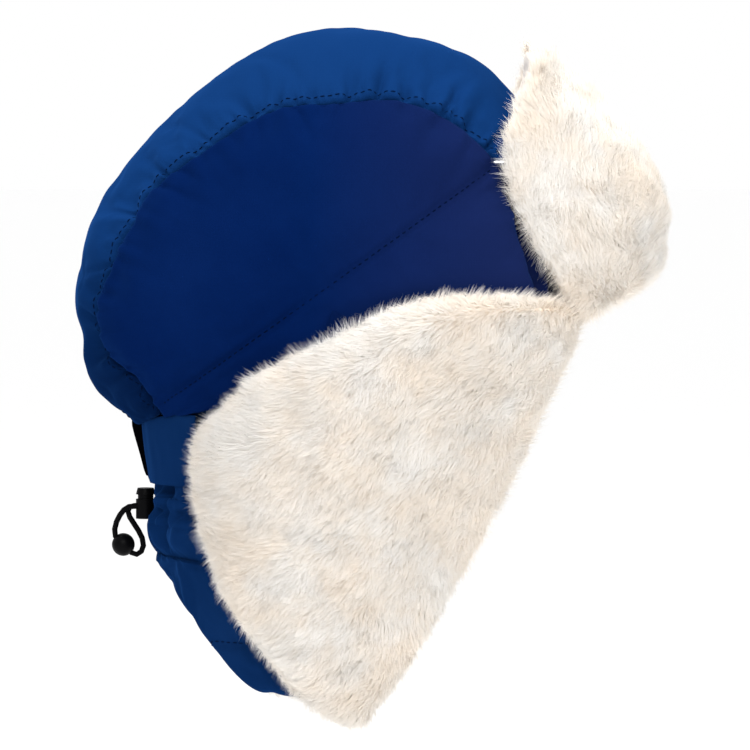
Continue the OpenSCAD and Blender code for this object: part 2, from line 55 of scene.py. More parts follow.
# ---- The hat's form, as in the CAD model ----

HALF_W = 100.0
CENTRE_Z = 35.0
ROUND_N = 2.4
BAND_SLOPE = 0.24
PUFF = 4.0
CHEEK_X = -5.0
HOOD_TAPER = 0.12
GUARD_Z = -87.0
FOLD_TOP = np.array([113.0, 27.0])
FOLD_BOTTOM = np.array([7.0, -166.0])
FOLD_GAP = 1.0
LAPEL_LIFT = 4.5
VISOR_HALF_W = 72.0
FRONT_TOP_PHI = 40.0
CROWN_BACK_PHI = 212.0

PROFILE = [
    [-10, 134], [0, 138], [20, 134], [40, 132], [60, 133], [90, 131], [110, 124], [125, 119], [140, 118],
    [155, 120], [168, 123], [180, 125], [190, 122], [200, 117], [208, 111], [214, 108], [222, 113],
    [230, 127], [236, 143], [243, 170], [250, 215], [260, 262], [270, 300], [280, 235], [295, 170],
    [320, 131], [340, 130], [350, 134], [360, 138], [370, 136],
]
SEAM = [
    [-30, 0.72], [-10, 0.73], [20, 0.77], [41, 0.79], [70, 0.785], [90, 0.745], [105, 0.785], [131, 0.83],
    [146, 0.875], [153, 0.884], [157, 0.87], [164, 0.882], [171, 0.884], [176, 0.908], [190, 0.93],
    [194, 0.91], [200, 0.865], [206, 0.885], [214, 0.92], [230, 0.91],
]
BACK = [
    [-180, 80], [-120, 80], [-88, 81.5], [-82, 82.5], [-76, 82], [-70, 80], [-63, 79], [-50, 80],
    [-25, 82.6], [0, 84], [20, 86],
]
HEM = [
    [-0.2, -92], [0, -91], [0.2, -97], [0.36, -109], [0.51, -127], [0.68, -149], [0.8, -153],
    [1, -155], [2, -166], [2.2, -168],
]
LAPEL_EDGE = [
    [106, 28], [80, 31], [55, 32], [31, 29], [7, 19], [-17, 9], [-34, 0], [-48, -14], [-60, -26],
    [-66, -37], [-66, -48], [-62, -70], [-54, -92], [-38, -118], [-16, -145], [4, -161],
]
VISOR_MIDDLE = [[141, 60], [139, 82], [127, 106], [112, 129], [98, 149]]
VISOR_SIDE = [[111, 36], [100, 62], [90, 90], [86, 115], [87, 141]]


def curve(rows, x):
    """Catmull-Rom curve through rows of a key and one or more values, for an array of keys."""
    rows = np.asarray(rows, float)
    keys = rows[:, 0]
    x = np.asarray(x, float)
    i = np.clip(np.searchsorted(keys, x, side="right") - 1, 0, len(keys) - 2)
    low = np.maximum(np.arange(len(keys)) - 1, 0)
    high = np.minimum(np.arange(len(keys)) + 1, len(keys) - 1)
    slope = (rows[high] - rows[low]) / (keys[high] - keys[low])[:, None]
    h = (keys[i + 1] - keys[i])[..., None]
    t = (x[..., None] - keys[i][..., None]) / h
    out = rows[i] * (2 * t**3 - 3 * t**2 + 1) + slope[i] * h * (t**3 - 2 * t**2 + t)
    out = out + rows[i + 1] * (3 * t**2 - 2 * t**3) + slope[i + 1] * h * (t**3 - t**2)
    return out[..., 1:]


def value(rows, x):
    return curve(rows, x)[..., 0]


def along(points, u):
    keys = np.linspace(0, 1, len(points))[:, None]
    return curve(np.hstack([keys, np.asarray(points, float)]), u)


def smooth(t):
    c = np.clip(t, 0, 1)
    return c * c * (3 - 2 * c)


def mix(a, b, t):
    return a * (1 - t) + b * t


def cosd(a):
    return np.cos(np.radians(a))


def sind(a):
    return np.sin(np.radians(a))


def radius(phi):
    around = np.where(phi < -10, phi + 360, np.where(phi > 370, phi - 360, phi))
    return value(PROFILE, around)


def width_at(z):
    return HALF_W * (1 - HOOD_TAPER * smooth(-z / 80))


def beta_of(q):
    return np.degrees(np.arccos(np.clip(q, 0, 1) ** (ROUND_N / 2)))


def crown_point(phi, beta, depth):
    """Right half of the crown: beta is 0 over the middle and 90 at the side's widest point."""
    q = np.clip(cosd(beta), 0, 1) ** (2 / ROUND_N)
    g = np.clip(sind(beta), 0, 1) ** (2 / ROUND_N)
    r = (radius(phi) - depth) * q
    z = CENTRE_Z + r * sind(phi)
    return np.stack([r * cosd(phi), -(width_at(z) - depth) * g, z], -1)


def side_y(x, z):
    phi = np.degrees(np.arctan2(z - CENTRE_Z, x))
    q = np.minimum(np.hypot(x, z - CENTRE_Z) / radius(phi), 0.995)
    return width_at(z) * (1 - q**ROUND_N) ** (1 / ROUND_N)


def seam_beta(phi):
    return beta_of(value(SEAM, phi))


def side_reach(phi):
    """How far a side panel reaches from its middle: to the gusset seam above, the band seam below."""
    fall = BAND_SLOPE * cosd(phi) - sind(phi)
    band = np.where(fall > 0.05, CENTRE_Z / np.maximum(fall, 0.05), 1000.0)
    low = np.where(phi > 235, phi - 360, phi)
    seam = np.where(low < -30, 1000.0, radius(phi) * value(SEAM, np.maximum(low, -30)))
    return np.minimum(seam, band)


def fold_x(z):
    share = (FOLD_TOP[1] - z) / (FOLD_TOP[1] - FOLD_BOTTOM[1])
    return FOLD_TOP[0] + (FOLD_BOTTOM[0] - FOLD_TOP[0]) * share


def hood_point(s, z, out):
    """Right side of the hood for s above 0: 0 at the middle of the back, 1 at the cheek, 2 at the face."""
    s, z, out = np.broadcast_arrays(np.asarray(s, float), np.asarray(z, float), np.asarray(out, float))
    turn = 90 * np.clip(s, -1, 1)
    back_x = CHEEK_X - (CHEEK_X + value(BACK, z) + out) * cosd(turn)
    back_y = -(side_y(np.full_like(z, CHEEK_X), z) + out) * sind(turn)
    front_x = mix(CHEEK_X, fold_x(z), np.maximum(np.abs(s) - 1, 0))
    front_y = -np.sign(s) * (side_y(front_x, z) + out)
    back = np.abs(s) <= 1
    return np.stack([np.where(back, back_x, front_x), np.where(back, back_y, front_y), z], -1)


FOLD_DIR = (FOLD_BOTTOM - FOLD_TOP) / np.linalg.norm(FOLD_BOTTOM - FOLD_TOP)


def fold_distance(x, z):
    return np.abs((x - FOLD_TOP[0]) * FOLD_DIR[1] - (z - FOLD_TOP[1]) * FOLD_DIR[0])


def lapel_point(u, v, out):
    """The lapel from its fold (v = 0) to its free edge (v = 1); u runs down from the top front corner."""
    fold = mix(FOLD_TOP + FOLD_DIR, FOLD_BOTTOM - FOLD_DIR * 2, u[..., None])
    p = mix(fold, along(LAPEL_EDGE, u), v[..., None])
    x, z = p[..., 0], p[..., 1]
    lift = FOLD_GAP + LAPEL_LIFT * smooth(fold_distance(x, z) / 60)
    return np.stack([x, -(side_y(x, z) + lift + out), z], -1)


def visor_point(u, v, out):
    """The visor across (u from -1 to 1) and from its fold (v = 0) to its free edge (v = 1)."""
    m = along(VISOR_MIDDLE, v)
    e = along(VISOR_SIDE, v)
    w = (np.abs(u) ** 2.2)[..., None]
    p = mix(m, e, w)
    round_in = 1 - 0.14 * smooth((v - 0.7) / 0.3)
    x = p[..., 0] + out * cosd(55 * u)
    y = -VISOR_HALF_W * round_in * u - out * sind(55 * u)
    return np.stack([x, y, p[..., 1] + out * 0.12], -1)


# ---- Mesh helpers ----

pieces = {}


def noise(p, size, seed, octaves=2):
    """Smooth noise from -1 to 1 at points p, made of sine waves in seeded directions."""
    rng = np.random.default_rng(seed)
    total = np.zeros(p.shape[:-1])
    weight = 0.0
    for octave in range(octaves):
        gain = 0.55**octave
        for _ in range(5):
            direction = rng.normal(size=p.shape[-1])
            direction *= 2 * math.pi / (np.linalg.norm(direction) * size * rng.uniform(0.7, 1.4))
            total += gain * np.sin((p * 2**octave) @ direction + rng.uniform(0, 6.28))
        weight += gain
    return total / (weight * 2.6)


def make_object(name, verts, faces, material, body):
    """A mesh object from an array of points in millimetres and an array of faces of one size."""
    faces = np.asarray(faces, np.int32)
    mesh = bpy.data.meshes.new(name)
    mesh.vertices.add(len(verts))
    mesh.vertices.foreach_set("co", (np.asarray(verts, np.float32) * MM).ravel())
    mesh.loops.add(faces.size)
    mesh.loops.foreach_set("vertex_index", faces.ravel())
    mesh.polygons.add(len(faces))
    mesh.polygons.foreach_set("loop_start", np.arange(0, faces.size, faces.shape[1], dtype=np.int32))
    mesh.update(calc_edges=True)
    mesh.validate()
    mesh.polygons.foreach_set("use_smooth", np.ones(len(mesh.polygons), bool))
    mesh.materials.append(material)
    obj = bpy.data.objects.new(name, mesh)
    bpy.context.scene.collection.objects.link(obj)
    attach(obj, body)
    pieces[name] = obj
    return obj


def grid_faces(nu, nv, start=0, flip=False, closed=False):
    i, j = np.meshgrid(np.arange(nu if closed else nu - 1), np.arange(nv - 1), indexing="ij")
    k = (i + 1) % nu
    quads = np.stack([i * nv + j, k * nv + j, k * nv + j + 1, i * nv + j + 1], -1).reshape(-1, 4) + start
    return quads[:, ::-1] if flip else quads


def rim_faces(ring, offset, flip=False):
    """Quads that join a closed ring of point numbers to the same ring offset points later."""
    after = np.roll(ring, -1)
    quads = np.stack([ring, after, after + offset, ring + offset], -1)
    return quads[:, ::-1] if flip else quads


def grid_ring(nu, nv):
    low = np.arange(nv)
    ids = np.arange(nu * nv).reshape(nu, nv)
    return np.concatenate([ids[:, 0], ids[-1, 1:], ids[-2::-1, -1], ids[0, -2:0:-1]]) if len(low) else low


def slab(name, near, far, material, body):
    """A closed solid between two grids of points; far is the side that shows."""
    nu, nv = near.shape[:2]
    verts = np.concatenate([near.reshape(-1, 3), far.reshape(-1, 3)])
    ring = grid_ring(nu, nv)
    faces = [grid_faces(nu, nv, flip=True), grid_faces(nu, nv, start=nu * nv), rim_faces(ring, nu * nv)]
    obj = make_object(name, verts, np.concatenate(faces), material, body)
    fix_normals(obj)
    return obj


def fix_normals(obj):
    """Turns the faces out, by the sign of the mesh's volume."""
    mesh = obj.data
    co = np.empty(len(mesh.vertices) * 3)
    mesh.vertices.foreach_get("co", co)
    co = co.reshape(-1, 3)
    mesh.calc_loop_triangles()
    tri = np.empty(len(mesh.loop_triangles) * 3, np.int32)
    mesh.loop_triangles.foreach_get("vertices", tri)
    a, b, c = co[tri[0::3]], co[tri[1::3]], co[tri[2::3]]
    if np.einsum("ij,ij->i", a, np.cross(b, c)).sum() < 0:
        mesh.flip_normals()


def uv_grid(nu, nv, u0=0.0, u1=1.0, v0=0.0, v1=1.0):
    return np.meshgrid(np.linspace(u0, u1, nu), np.linspace(v0, v1, nv), indexing="ij")


def normals_of(p, closed=False):
    """Normals of a grid of points."""
    du = np.gradient(p, axis=0)
    if closed:
        du = (np.roll(p, -1, 0) - np.roll(p, 1, 0)) / 2
    n = np.cross(du, np.gradient(p, axis=1))
    return n / np.maximum(np.linalg.norm(n, axis=-1, keepdims=True), 1e-9)


def mirror(p):
    return p * np.array([1.0, -1.0, 1.0])


def thick_sheet(name, p, thickness, material, body, outward):
    """A sheet of cloth: the grid of points is its outer face."""
    n = normals_of(p)
    if (n * outward(p)).sum() < 0:
        n = -n
    return slab(name, p - n * thickness, p, material, body)


def from_centre(p):
    return p - np.array([0.0, 0.0, CENTRE_Z])


def stitch_bars(name, path, normals, spacing, length, width, material, body):
    """A row of sewn stitches along a path: short rounded bars that dip at their ends."""
    step = np.linalg.norm(np.diff(path, axis=0), axis=1)
    arc = np.concatenate([[0], np.cumsum(step)])
    starts = np.arange(spacing / 2, arc[-1] - length, spacing)
    at = starts[:, None] + length * np.array([0, 0.15, 0.5, 0.85, 1.0])
    c = np.stack([np.interp(at, arc, path[:, k]) for k in range(3)], -1)
    out = np.stack([np.interp(at, arc, normals[:, k]) for k in range(3)], -1)
    out /= np.linalg.norm(out, axis=-1, keepdims=True)
    c = c + out * np.array([-0.25, 0.1, 0.2, 0.1, -0.25])[None, :, None]
    head = c[:, -1:] - c[:, :1]
    head = head / np.linalg.norm(head, axis=-1, keepdims=True)
    across = np.cross(np.broadcast_to(head, out.shape), out)
    ring = 6
    turn = np.linspace(0, 2 * math.pi, ring, endpoint=False)
    fat = np.array([0.3, 0.85, 1.0, 0.85, 0.3])[None, :, None, None] * width / 2
    block = c[:, :, None] + fat * (
        out[:, :, None] * np.sin(turn)[:, None] + across[:, :, None] * np.cos(turn)[:, None]
    )
    base = (np.arange(len(starts)) * 5 * ring)[:, None, None]
    k, j = np.meshgrid(np.arange(4), np.arange(ring), indexing="ij")
    quads = np.stack([k * ring + j, k * ring + (j + 1) % ring, (k + 1) * ring + (j + 1) % ring, (k + 1) * ring + j], -1)
    quads = quads.reshape(-1, 4)
    last = 4 * ring
    ends = np.array([[3, 2, 1, 0], [5, 4, 3, 0], [last, last + 1, last + 2, last + 3], [last, last + 3, last + 4, last + 5]])
    faces = (base + np.concatenate([quads, ends])[None]).reshape(-1, 4)
    return make_object(name, block.reshape(-1, 3), faces, material, body)


# ---- Materials ----


def new_material(name):
    mat = bpy.data.materials.new(name)
    mat.use_nodes = True
    return mat, mat.node_tree, mat.node_tree.nodes["Principled BSDF"]


def add_node(tree, kind, **inputs):
    node = tree.nodes.new(kind)
    for key, val in inputs.items():
        node.inputs[key.replace("_", " ")].default_value = val
    return node


def ramp(tree, source, stops):
    node = tree.nodes.new("ShaderNodeValToRGB")
    tree.links.new(source, node.inputs["Fac"])
    elements = node.color_ramp.elements
    while len(elements) < len(stops):
        elements.new(0.5)
    for element, (place, colour) in zip(elements, stops):
        element.position = place
        element.color = (*colour, 1)
    return node.outputs["Color"]


def object_noise(tree, scale, detail=3.0, roughness=0.5):
    coords = tree.nodes.new("ShaderNodeTexCoord")
    node = add_node(tree, "ShaderNodeTexNoise", Scale=scale, Detail=detail, Roughness=roughness)
    tree.links.new(coords.outputs["Object"], node.inputs["Vector"])
    return node.outputs["Fac"]


def bumps(tree, shader, *layers):
    """Chains bump nodes: each layer is a height socket, a strength and a distance in metres."""
    last = None
    for height, strength, distance in layers:
        node = add_node(tree, "ShaderNodeBump", Strength=strength, Distance=distance)
        tree.links.new(height, node.inputs["Height"])
        if last is not None:
            tree.links.new(last, node.inputs["Normal"])
        last = node.outputs["Normal"]
    tree.links.new(last, shader.inputs["Normal"])


def woven(name, dark, light, roughness=0.5, sheen=0.35, far=None, axis="X", span=(-0.01, 0.09)):
    """Close woven cloth with a soft sheen, fine ribs and a little mottling; far is its colour beyond span along axis, a
    painted pool of light that makes one end of the panel lighter.
    """
    mat, tree, shader = new_material(name)
    coords = tree.nodes.new("ShaderNodeTexCoord")
    blotch = object_noise(tree, 18.0, 4.0, 0.6)
    colour = ramp(tree, blotch, [(0.3, dark), (0.7, light)])
    # Painted light: blends the colour towards far along one axis, lighter where light falls on the panel.
    if far:
        apart = tree.nodes.new("ShaderNodeSeparateXYZ")
        tree.links.new(coords.outputs["Object"], apart.inputs[0])
        front = add_node(tree, "ShaderNodeMapRange")
        for key, number in zip(("From Min", "From Max"), span):
            front.inputs[key].default_value = number
        tree.links.new(apart.outputs[axis], front.inputs["Value"])
        blend = tree.nodes.new("ShaderNodeMix")
        blend.data_type = "RGBA"
        blend.inputs["B"].default_value = (*far, 1)
        tree.links.new(front.outputs["Result"], blend.inputs["Factor"])
        tree.links.new(colour, blend.inputs["A"])
        colour = blend.outputs["Result"]
    tree.links.new(colour, shader.inputs["Base Color"])
    weave = []
    for axis in ("X", "Z"):
        wave = add_node(tree, "ShaderNodeTexWave", Scale=420.0, Distortion=0.6, Detail=1.0)
        wave.bands_direction = axis
        tree.links.new(coords.outputs["Object"], wave.inputs["Vector"])
        weave.append(wave.outputs["Fac"])
    both = tree.nodes.new("ShaderNodeMath")
    both.operation = "MULTIPLY"
    tree.links.new(weave[0], both.inputs[0])
    tree.links.new(weave[1], both.inputs[1])
    rough = ramp(tree, object_noise(tree, 60.0), [(0.2, (roughness - 0.06,) * 3), (0.8, (roughness + 0.08,) * 3)])
    tree.links.new(rough, shader.inputs["Roughness"])
    shader.inputs["Sheen Weight"].default_value = sheen
    shader.inputs["Sheen Roughness"].default_value = 0.35
    shader.inputs["Sheen Tint"].default_value = (0.06, 0.26, 0.85, 1)
    shader.inputs["Specular IOR Level"].default_value = 0.0
    shader.inputs["Specular Tint"].default_value = (0.25, 0.45, 1.0, 1)
    bumps(tree, shader, (both.outputs[0], 0.2, 0.0003), (object_noise(tree, 90.0, 4.0, 0.6), 0.15, 0.0006))
    return mat


def fur_material(name, root, middle, tip, through=0.0):
    """Faux fur: warm and a little darker at the roots, painted shade deep in the pile, and near white at the tips;
    through is the share of light let through.
    """
    mat, tree, shader = new_material(name)
    attribute = tree.nodes.new("ShaderNodeAttribute")
    attribute.attribute_name = "along"
    # Painted shade: the root colour darkens and warms each fibre towards the ground, where the pile shades it.
    shade = ramp(tree, attribute.outputs["Fac"], [(0.0, root), (0.45, middle), (1.0, tip)])
    patch = ramp(tree, object_noise(tree, 30.0, 5.0, 0.6), [(0.38, (1.0, 0.955, 0.90)), (0.62, (1, 1, 1))])
    blend = tree.nodes.new("ShaderNodeMix")
    blend.data_type = "RGBA"
    blend.blend_type = "MULTIPLY"
    blend.inputs["Factor"].default_value = 0.9
    tree.links.new(shade, blend.inputs["A"])
    tree.links.new(patch, blend.inputs["B"])
    tree.links.new(blend.outputs["Result"], shader.inputs["Base Color"])
    shader.inputs["Roughness"].default_value = 0.65
    shader.inputs["Sheen Weight"].default_value = 0.25
    shader.inputs["Sheen Roughness"].default_value = 0.5
    shader.inputs["Specular IOR Level"].default_value = 0.25
    bumps(tree, shader, (object_noise(tree, 700.0, 2.0), 0.2, 0.0004))
    if through:
        behind = tree.nodes.new("ShaderNodeBsdfTranslucent")
        both = tree.nodes.new("ShaderNodeMixShader")
        both.inputs["Fac"].default_value = through
        tree.links.new(blend.outputs["Result"], behind.inputs["Color"])
        tree.links.new(shader.outputs[0], both.inputs[1])
        tree.links.new(behind.outputs[0], both.inputs[2])
        output = next(n for n in tree.nodes if n.type == "OUTPUT_MATERIAL")
        tree.links.new(both.outputs[0], output.inputs["Surface"])
    return mat


def plastic(name, colour, roughness, grain=900.0, shine=0.1):
    mat, tree, shader = new_material(name)
    light = tuple(min(1, c * 1.5) for c in colour)
    tone = ramp(tree, object_noise(tree, 120.0, 3.0), [(0.3, colour), (0.75, light)])
    tree.links.new(tone, shader.inputs["Base Color"])
    rough = ramp(tree, object_noise(tree, 300.0), [(0.3, (roughness - 0.05,) * 3), (0.7, (roughness + 0.08,) * 3)])
    tree.links.new(rough, shader.inputs["Roughness"])
    shader.inputs["Specular IOR Level"].default_value = shine
    bumps(tree, shader, (object_noise(tree, grain, 2.0), 0.15, 0.0002))
    return mat


def braid(name, colour):
    """Braided cord: fine diagonal ribs and a slight sheen."""
    mat, tree, shader = new_material(name)
    coords = tree.nodes.new("ShaderNodeTexCoord")
    wave = add_node(tree, "ShaderNodeTexWave", Scale=500.0, Distortion=1.5, Detail=1.0)
    wave.bands_direction = "DIAGONAL"
    tree.links.new(coords.outputs["Object"], wave.inputs["Vector"])
    light = tuple(c * 2.5 for c in colour)
    tree.links.new(ramp(tree, wave.outputs["Fac"], [(0.3, colour), (0.8, light)]), shader.inputs["Base Color"])
    shader.inputs["Roughness"].default_value = 0.6
    shader.inputs["Specular IOR Level"].default_value = 0.04
    bumps(tree, shader, (wave.outputs["Fac"], 0.5, 0.0004))
    return mat


# The gusset's navy is painted light and shade: lighter over the top, where light from above falls, and darker low at
# the back, where shade falls.
NAVY = woven(
    "navy_cloth_painted_top_light", (0.0008, 0.0060, 0.030), (0.0013, 0.0085, 0.040), 0.5, 0.12, (0.0032, 0.0240, 0.100), "Z", (0.0, 0.08),
)
NAVY_HOOD = woven("navy_hood_cloth", (0.0016, 0.0120, 0.052), (0.0030, 0.0175, 0.070), 0.5, 0.14)
# The side panels' navy is painted lighter and redder towards the front, a painted pool of light from the front.
NAVY_SIDE = woven("navy_side_cloth_painted_front_light", (0.0007, 0.0066, 0.045), (0.0012, 0.0090, 0.056), 0.5, 0.08, (0.0058, 0.0115, 0.054))
# Painted shade: the brow panel is a near-black navy because it lies in the deep shade between the side panels and the
# visor.
NAVY_BROW_SHADE = woven("navy_brow_painted_shade", (0.0003, 0.0022, 0.014), (0.0005, 0.003, 0.018), 0.5, 0.03)
THREAD = woven("navy_thread", (0.0008, 0.003, 0.014), (0.0016, 0.006, 0.028), 0.55, 0.05)
# The fibres' warm roots are painted shade in the depth of the pile.
FUR = fur_material("cream_fur_fibre", (0.98, 0.925, 0.85), (0.985, 0.955, 0.91), (0.99, 0.98, 0.962), 0.5)
FUR_BASE = fur_material("cream_fur_ground", (0.95, 0.88, 0.79), (0.96, 0.90, 0.81), (0.97, 0.92, 0.84))
PLUSH = fur_material("cream_plush", (0.76, 0.66, 0.54), (0.82, 0.74, 0.64), (0.88, 0.82, 0.74))
WADDING = fur_material("white_wadding", (0.80, 0.80, 0.78), (0.86, 0.86, 0.84), (0.9, 0.9, 0.88))
BLACK_PLASTIC = plastic("black_moulding", (0.0012, 0.0012, 0.0016), 0.42, 900.0, 0.04)
CLEAR = plastic("clear_moulding", (0.70, 0.73, 0.76), 0.15)
STEEL = plastic("spring_wire", (0.55, 0.56, 0.58), 0.3)
CORD = braid("black_braid", (0.0008, 0.0008, 0.001))
TAPE = plastic("black_hook_pile", (0.0006, 0.0006, 0.001), 0.75, 1400.0, 0.0)
LOOP_PILE = plastic("navy_loop_pile", (0.008, 0.016, 0.05), 0.8, 1200.0)
FLOOR = plastic("pale_floor", (0.985, 0.985, 0.985), 0.9)


# ---- Camera ----


def camera():
    data = bpy.data.cameras.new("camera")
    cam = bpy.data.objects.new("camera", data)
    bpy.context.scene.collection.objects.link(cam)
    distance = 2.5
    width = 0.36
    elevation = math.radians(3)
    target = np.array([0.0192, 0.0, 0.0])
    cam.location = target + distance * np.array([0, -math.cos(elevation), math.sin(elevation)])
    cam.rotation_euler = (math.pi / 2 - elevation, 0, 0)
    data.sensor_width = 36
    data.lens = 36 * distance / width
    data.clip_end = 50
    bpy.context.scene.camera = cam


camera()

# ---- Cord ----

CORD_D = 2.7
LOOP = [
    (-86.4, -1.5, -63), (-91, -1.5, -63), (-96.6, -1.5, -63), (-99, -1.5, -63.3), (-101.4, -1.6, -64.8),
    (-103.4, -1.6, -67.4), (-105, -1.3, -70.6), (-105.9, -0.7, -74.2), (-105.6, -0.1, -77.6),
    (-103.8, 0, -79.6), (-101.8, 0, -81.6), (-99.8, 0, -83.6), (-97.9, 0, -85.5), (-95.4, 0.3, -86.4),
    (-93.2, 0.8, -85), (-92.2, 1.2, -82.2), (-92.8, 1.5, -78.6), (-94.6, 1.7, -75), (-96.8, 1.8, -71.6),
    (-98.7, 1.8, -68.6), (-99.6, 1.7, -65.8), (-98.8, 1.6, -63.8), (-96.6, 1.5, -63), (-91, 1.5, -63),
    (-86.4, 1.5, -63),
]


def cord_loop():
    data = bpy.data.curves.new("cord_loop_braid", "CURVE")
    data.dimensions = "3D"
    data.bevel_depth = CORD_D / 2 * MM
    data.bevel_resolution = 4
    data.resolution_u = 8
    data.use_fill_caps = True
    spline = data.splines.new("POLY")
    spline.points.add(len(LOOP) - 1)
    for point, co in zip(spline.points, LOOP):
        point.co = (*(c * MM for c in co), 1)
    obj = bpy.data.objects.new("cord_loop_braid", data)
    data.materials.append(CORD)
    bpy.context.scene.collection.objects.link(obj)
    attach(obj, "hat")
    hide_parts("cord_loop")


cord_loop()

# ---- Cloth helpers ----


def roll(d, size):
    """How far a rolled edge drops: size at the edge itself, 0 from size inwards."""
    inside = np.clip(d / size, 0, 1)
    return size * (1 - np.sqrt(np.clip(1 - (1 - inside) ** 2, 0, 1)))


def sewn_edge(d, bulge=2.4, size=3.0):
    """Depth of padded cloth beside a seam that is d away."""
    return bulge * np.exp(-d / 13) + roll(d, size)


def pinches(run, d, seed, length, spacing, depth, reach, width=1.5):
    """Creases that run away from a seam: run is the distance along the seam and d the distance from it."""
    rng = np.random.default_rng(seed)
    out = np.zeros(np.broadcast(run, d).shape)
    place = rng.uniform(0, spacing)
    while place < length:
        deep = depth * rng.uniform(0.25, 1.0)
        far = reach * rng.uniform(0.4, 1.2)
        wide = width * rng.uniform(0.7, 1.6)
        slant = rng.uniform(-0.35, 0.35)
        off = (run - place - slant * d) / (wide * (1 + d / reach))
        out -= deep * np.exp(-(off**2)) * np.exp(-((d / far) ** 1.5))
        out += 0.45 * deep * np.exp(-((off - 2.2) ** 2) / 2) * np.exp(-((d / far) ** 1.5))
        place += spacing * rng.uniform(0.45, 1.6)
    return out


def settle(points, free, pressure, shrink, cap, active=None, bend=0.3):
    """Blender's cloth on a grid of points, held where free is 0. Returns how far each point moved."""
    nu, nv = points.shape[:2]
    faces = grid_faces(nu, nv)
    if active is not None:
        faces = faces[active.ravel()[faces].all(axis=1)]
    start = points.reshape(-1, 3) * MM
    a, b, c = (start[faces[:, k]] for k in range(3))
    middle = np.array([0.0, 0.0, 0.0])
    if ((np.cross(b - a, c - a)) * (a - middle)).sum() < 0:
        faces = faces[:, ::-1]
    mesh = bpy.data.meshes.new("cloth_trial")
    mesh.from_pydata(start.tolist(), [], faces.tolist())
    obj = bpy.data.objects.new("cloth_trial", mesh)
    bpy.context.scene.collection.objects.link(obj)
    held = obj.vertex_groups.new(name="held")
    weight = 1 - free.ravel()
    for i in np.nonzero(weight > 0)[0].tolist():
        held.add([i], float(weight[i]), "REPLACE")
    cloth = obj.modifiers.new("cloth", "CLOTH")
    cloth.settings.quality = 6
    cloth.settings.mass = 0.12
    cloth.settings.tension_stiffness = 15
    cloth.settings.compression_stiffness = 15
    cloth.settings.shear_stiffness = 8
    cloth.settings.bending_stiffness = bend
    cloth.settings.vertex_group_mass = "held"
    cloth.settings.use_pressure = True
    cloth.settings.uniform_pressure_force = pressure
    cloth.settings.shrink_min = shrink
    cloth.settings.effector_weights.gravity = 0
    cloth.collision_settings.use_collision = False
    cloth.point_cache.frame_start = 1
    cloth.point_cache.frame_end = 20
    for step in range(1, 21):
        bpy.context.scene.frame_set(step)
    done = obj.evaluated_get(bpy.context.evaluated_depsgraph_get()).to_mesh()
    co = np.empty(len(done.vertices) * 3)
    done.vertices.foreach_get("co", co)
    bpy.data.objects.remove(obj)
    bpy.data.meshes.remove(mesh)
    bpy.context.scene.frame_set(1)
    moved = (co.reshape(-1, 3) - start) / MM
    size = np.linalg.norm(moved, axis=1, keepdims=True)
    moved *= cap * np.tanh(size / cap) / np.maximum(size, 1e-6)
    return moved.reshape(points.shape)


def sampled(grid, a, b):
    """Smooth values of a grid at places a and b, which are fractions of its two sides."""
    nu, nv = grid.shape[:2]
    x = np.clip(a, 0, 1) * (nu - 1)
    y = np.clip(b, 0, 1) * (nv - 1)

    def weights(place, count):
        i = np.clip(np.floor(place).astype(int), 0, count - 2)
        f = place - i
        w = [(1 - f) ** 3 / 6, (3 * f**3 - 6 * f**2 + 4) / 6, (-3 * f**3 + 3 * f**2 + 3 * f + 1) / 6, f**3 / 6]
        return [np.clip(i + k, 0, count - 1) for k in (-1, 0, 1, 2)], w

    iu, wu = weights(x, nu)
    iv, wv = weights(y, nv)
    total = 0
    for i, w in zip(iu, wu):
        for j, z in zip(iv, wv):
            total = total + grid[i, j] * (w * z)[..., None]
    return total


def layers(name, surface, a, b, material, body, node, finish, fill, thick=1.2, flips=("right", "left")):
    """A cloth shell, mirrored to both sides where flips names two of them."""
    p, n = surface(a, b)
    for side in flips:
        sign = np.array([1.0, -1.0 if side == "left" else 1.0, 1.0])
        end = f"_{side}" if side else ""
        obj = slab(name + end, (p - n * thick) * sign, p * sign, material, body)
        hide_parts(node + end)


def filling(name, surface, a, b, low, high, material, body, node, flips=("right", "left")):
    """Wadding or lining under a shell, from one depth to another."""
    p, n = surface(a, b)
    for side in flips:
        sign = np.array([1.0, -1.0 if side == "left" else 1.0, 1.0])
        end = f"_{side}" if side else ""
        obj = slab(name + end, (p - n * high) * sign, (p - n * low) * sign, material, body)
        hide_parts(node + end)


# ---- Crown ----


def crown_normal(phi, beta):
    power = 2 * (ROUND_N - 1) / ROUND_N
    c = np.clip(cosd(beta), 0, 1) ** power / radius(phi)
    g = np.clip(sind(beta), 0, 1) ** power / HALF_W
    n = np.stack([c * cosd(phi), -g, c * sind(phi)], -1)
    return n / np.linalg.norm(n, axis=-1, keepdims=True)


QUILT_A = np.array([79.0, 104.0])
QUILT_B = np.array([-86.0, -14.0])


def quilt_place(p):
    """Distance from the diagonal row of quilting on a side panel, and distance along it."""
    d = (QUILT_B - QUILT_A) / np.linalg.norm(QUILT_B - QUILT_A)
    rel = p[..., [0, 2]] - QUILT_A
    return rel[..., 0] * d[1] - rel[..., 1] * d[0], rel @ d


SEAM_PHI = np.linspace(0, 360, 361)
SEAM_RING = crown_point(SEAM_PHI, beta_of(side_reach(SEAM_PHI) / radius(SEAM_PHI)), 0)
SEAM_RUN = np.concatenate([[0], np.cumsum(np.linalg.norm(np.diff(SEAM_RING, axis=0), axis=1))])


def seam_run(phi):
    """Distance along the edge of a side panel."""
    return np.interp(np.mod(phi, 360), SEAM_PHI, SEAM_RUN)


def side_rest(phi, t):
    """A side panel before the cloth settles: points, normals and distance from the seam."""
    reach = side_reach(phi)
    beta = beta_of(t * reach / radius(phi))
    d = (1 - t) * reach
    p = crown_point(phi, beta, 0)
    n = crown_normal(phi, beta)
    return p - n * sewn_edge(d)[..., None], n, d


LATTICE = 4.0
LATTICE_X = np.arange(-128, 128, LATTICE)
LATTICE_Z = np.arange(-52, 172, LATTICE)


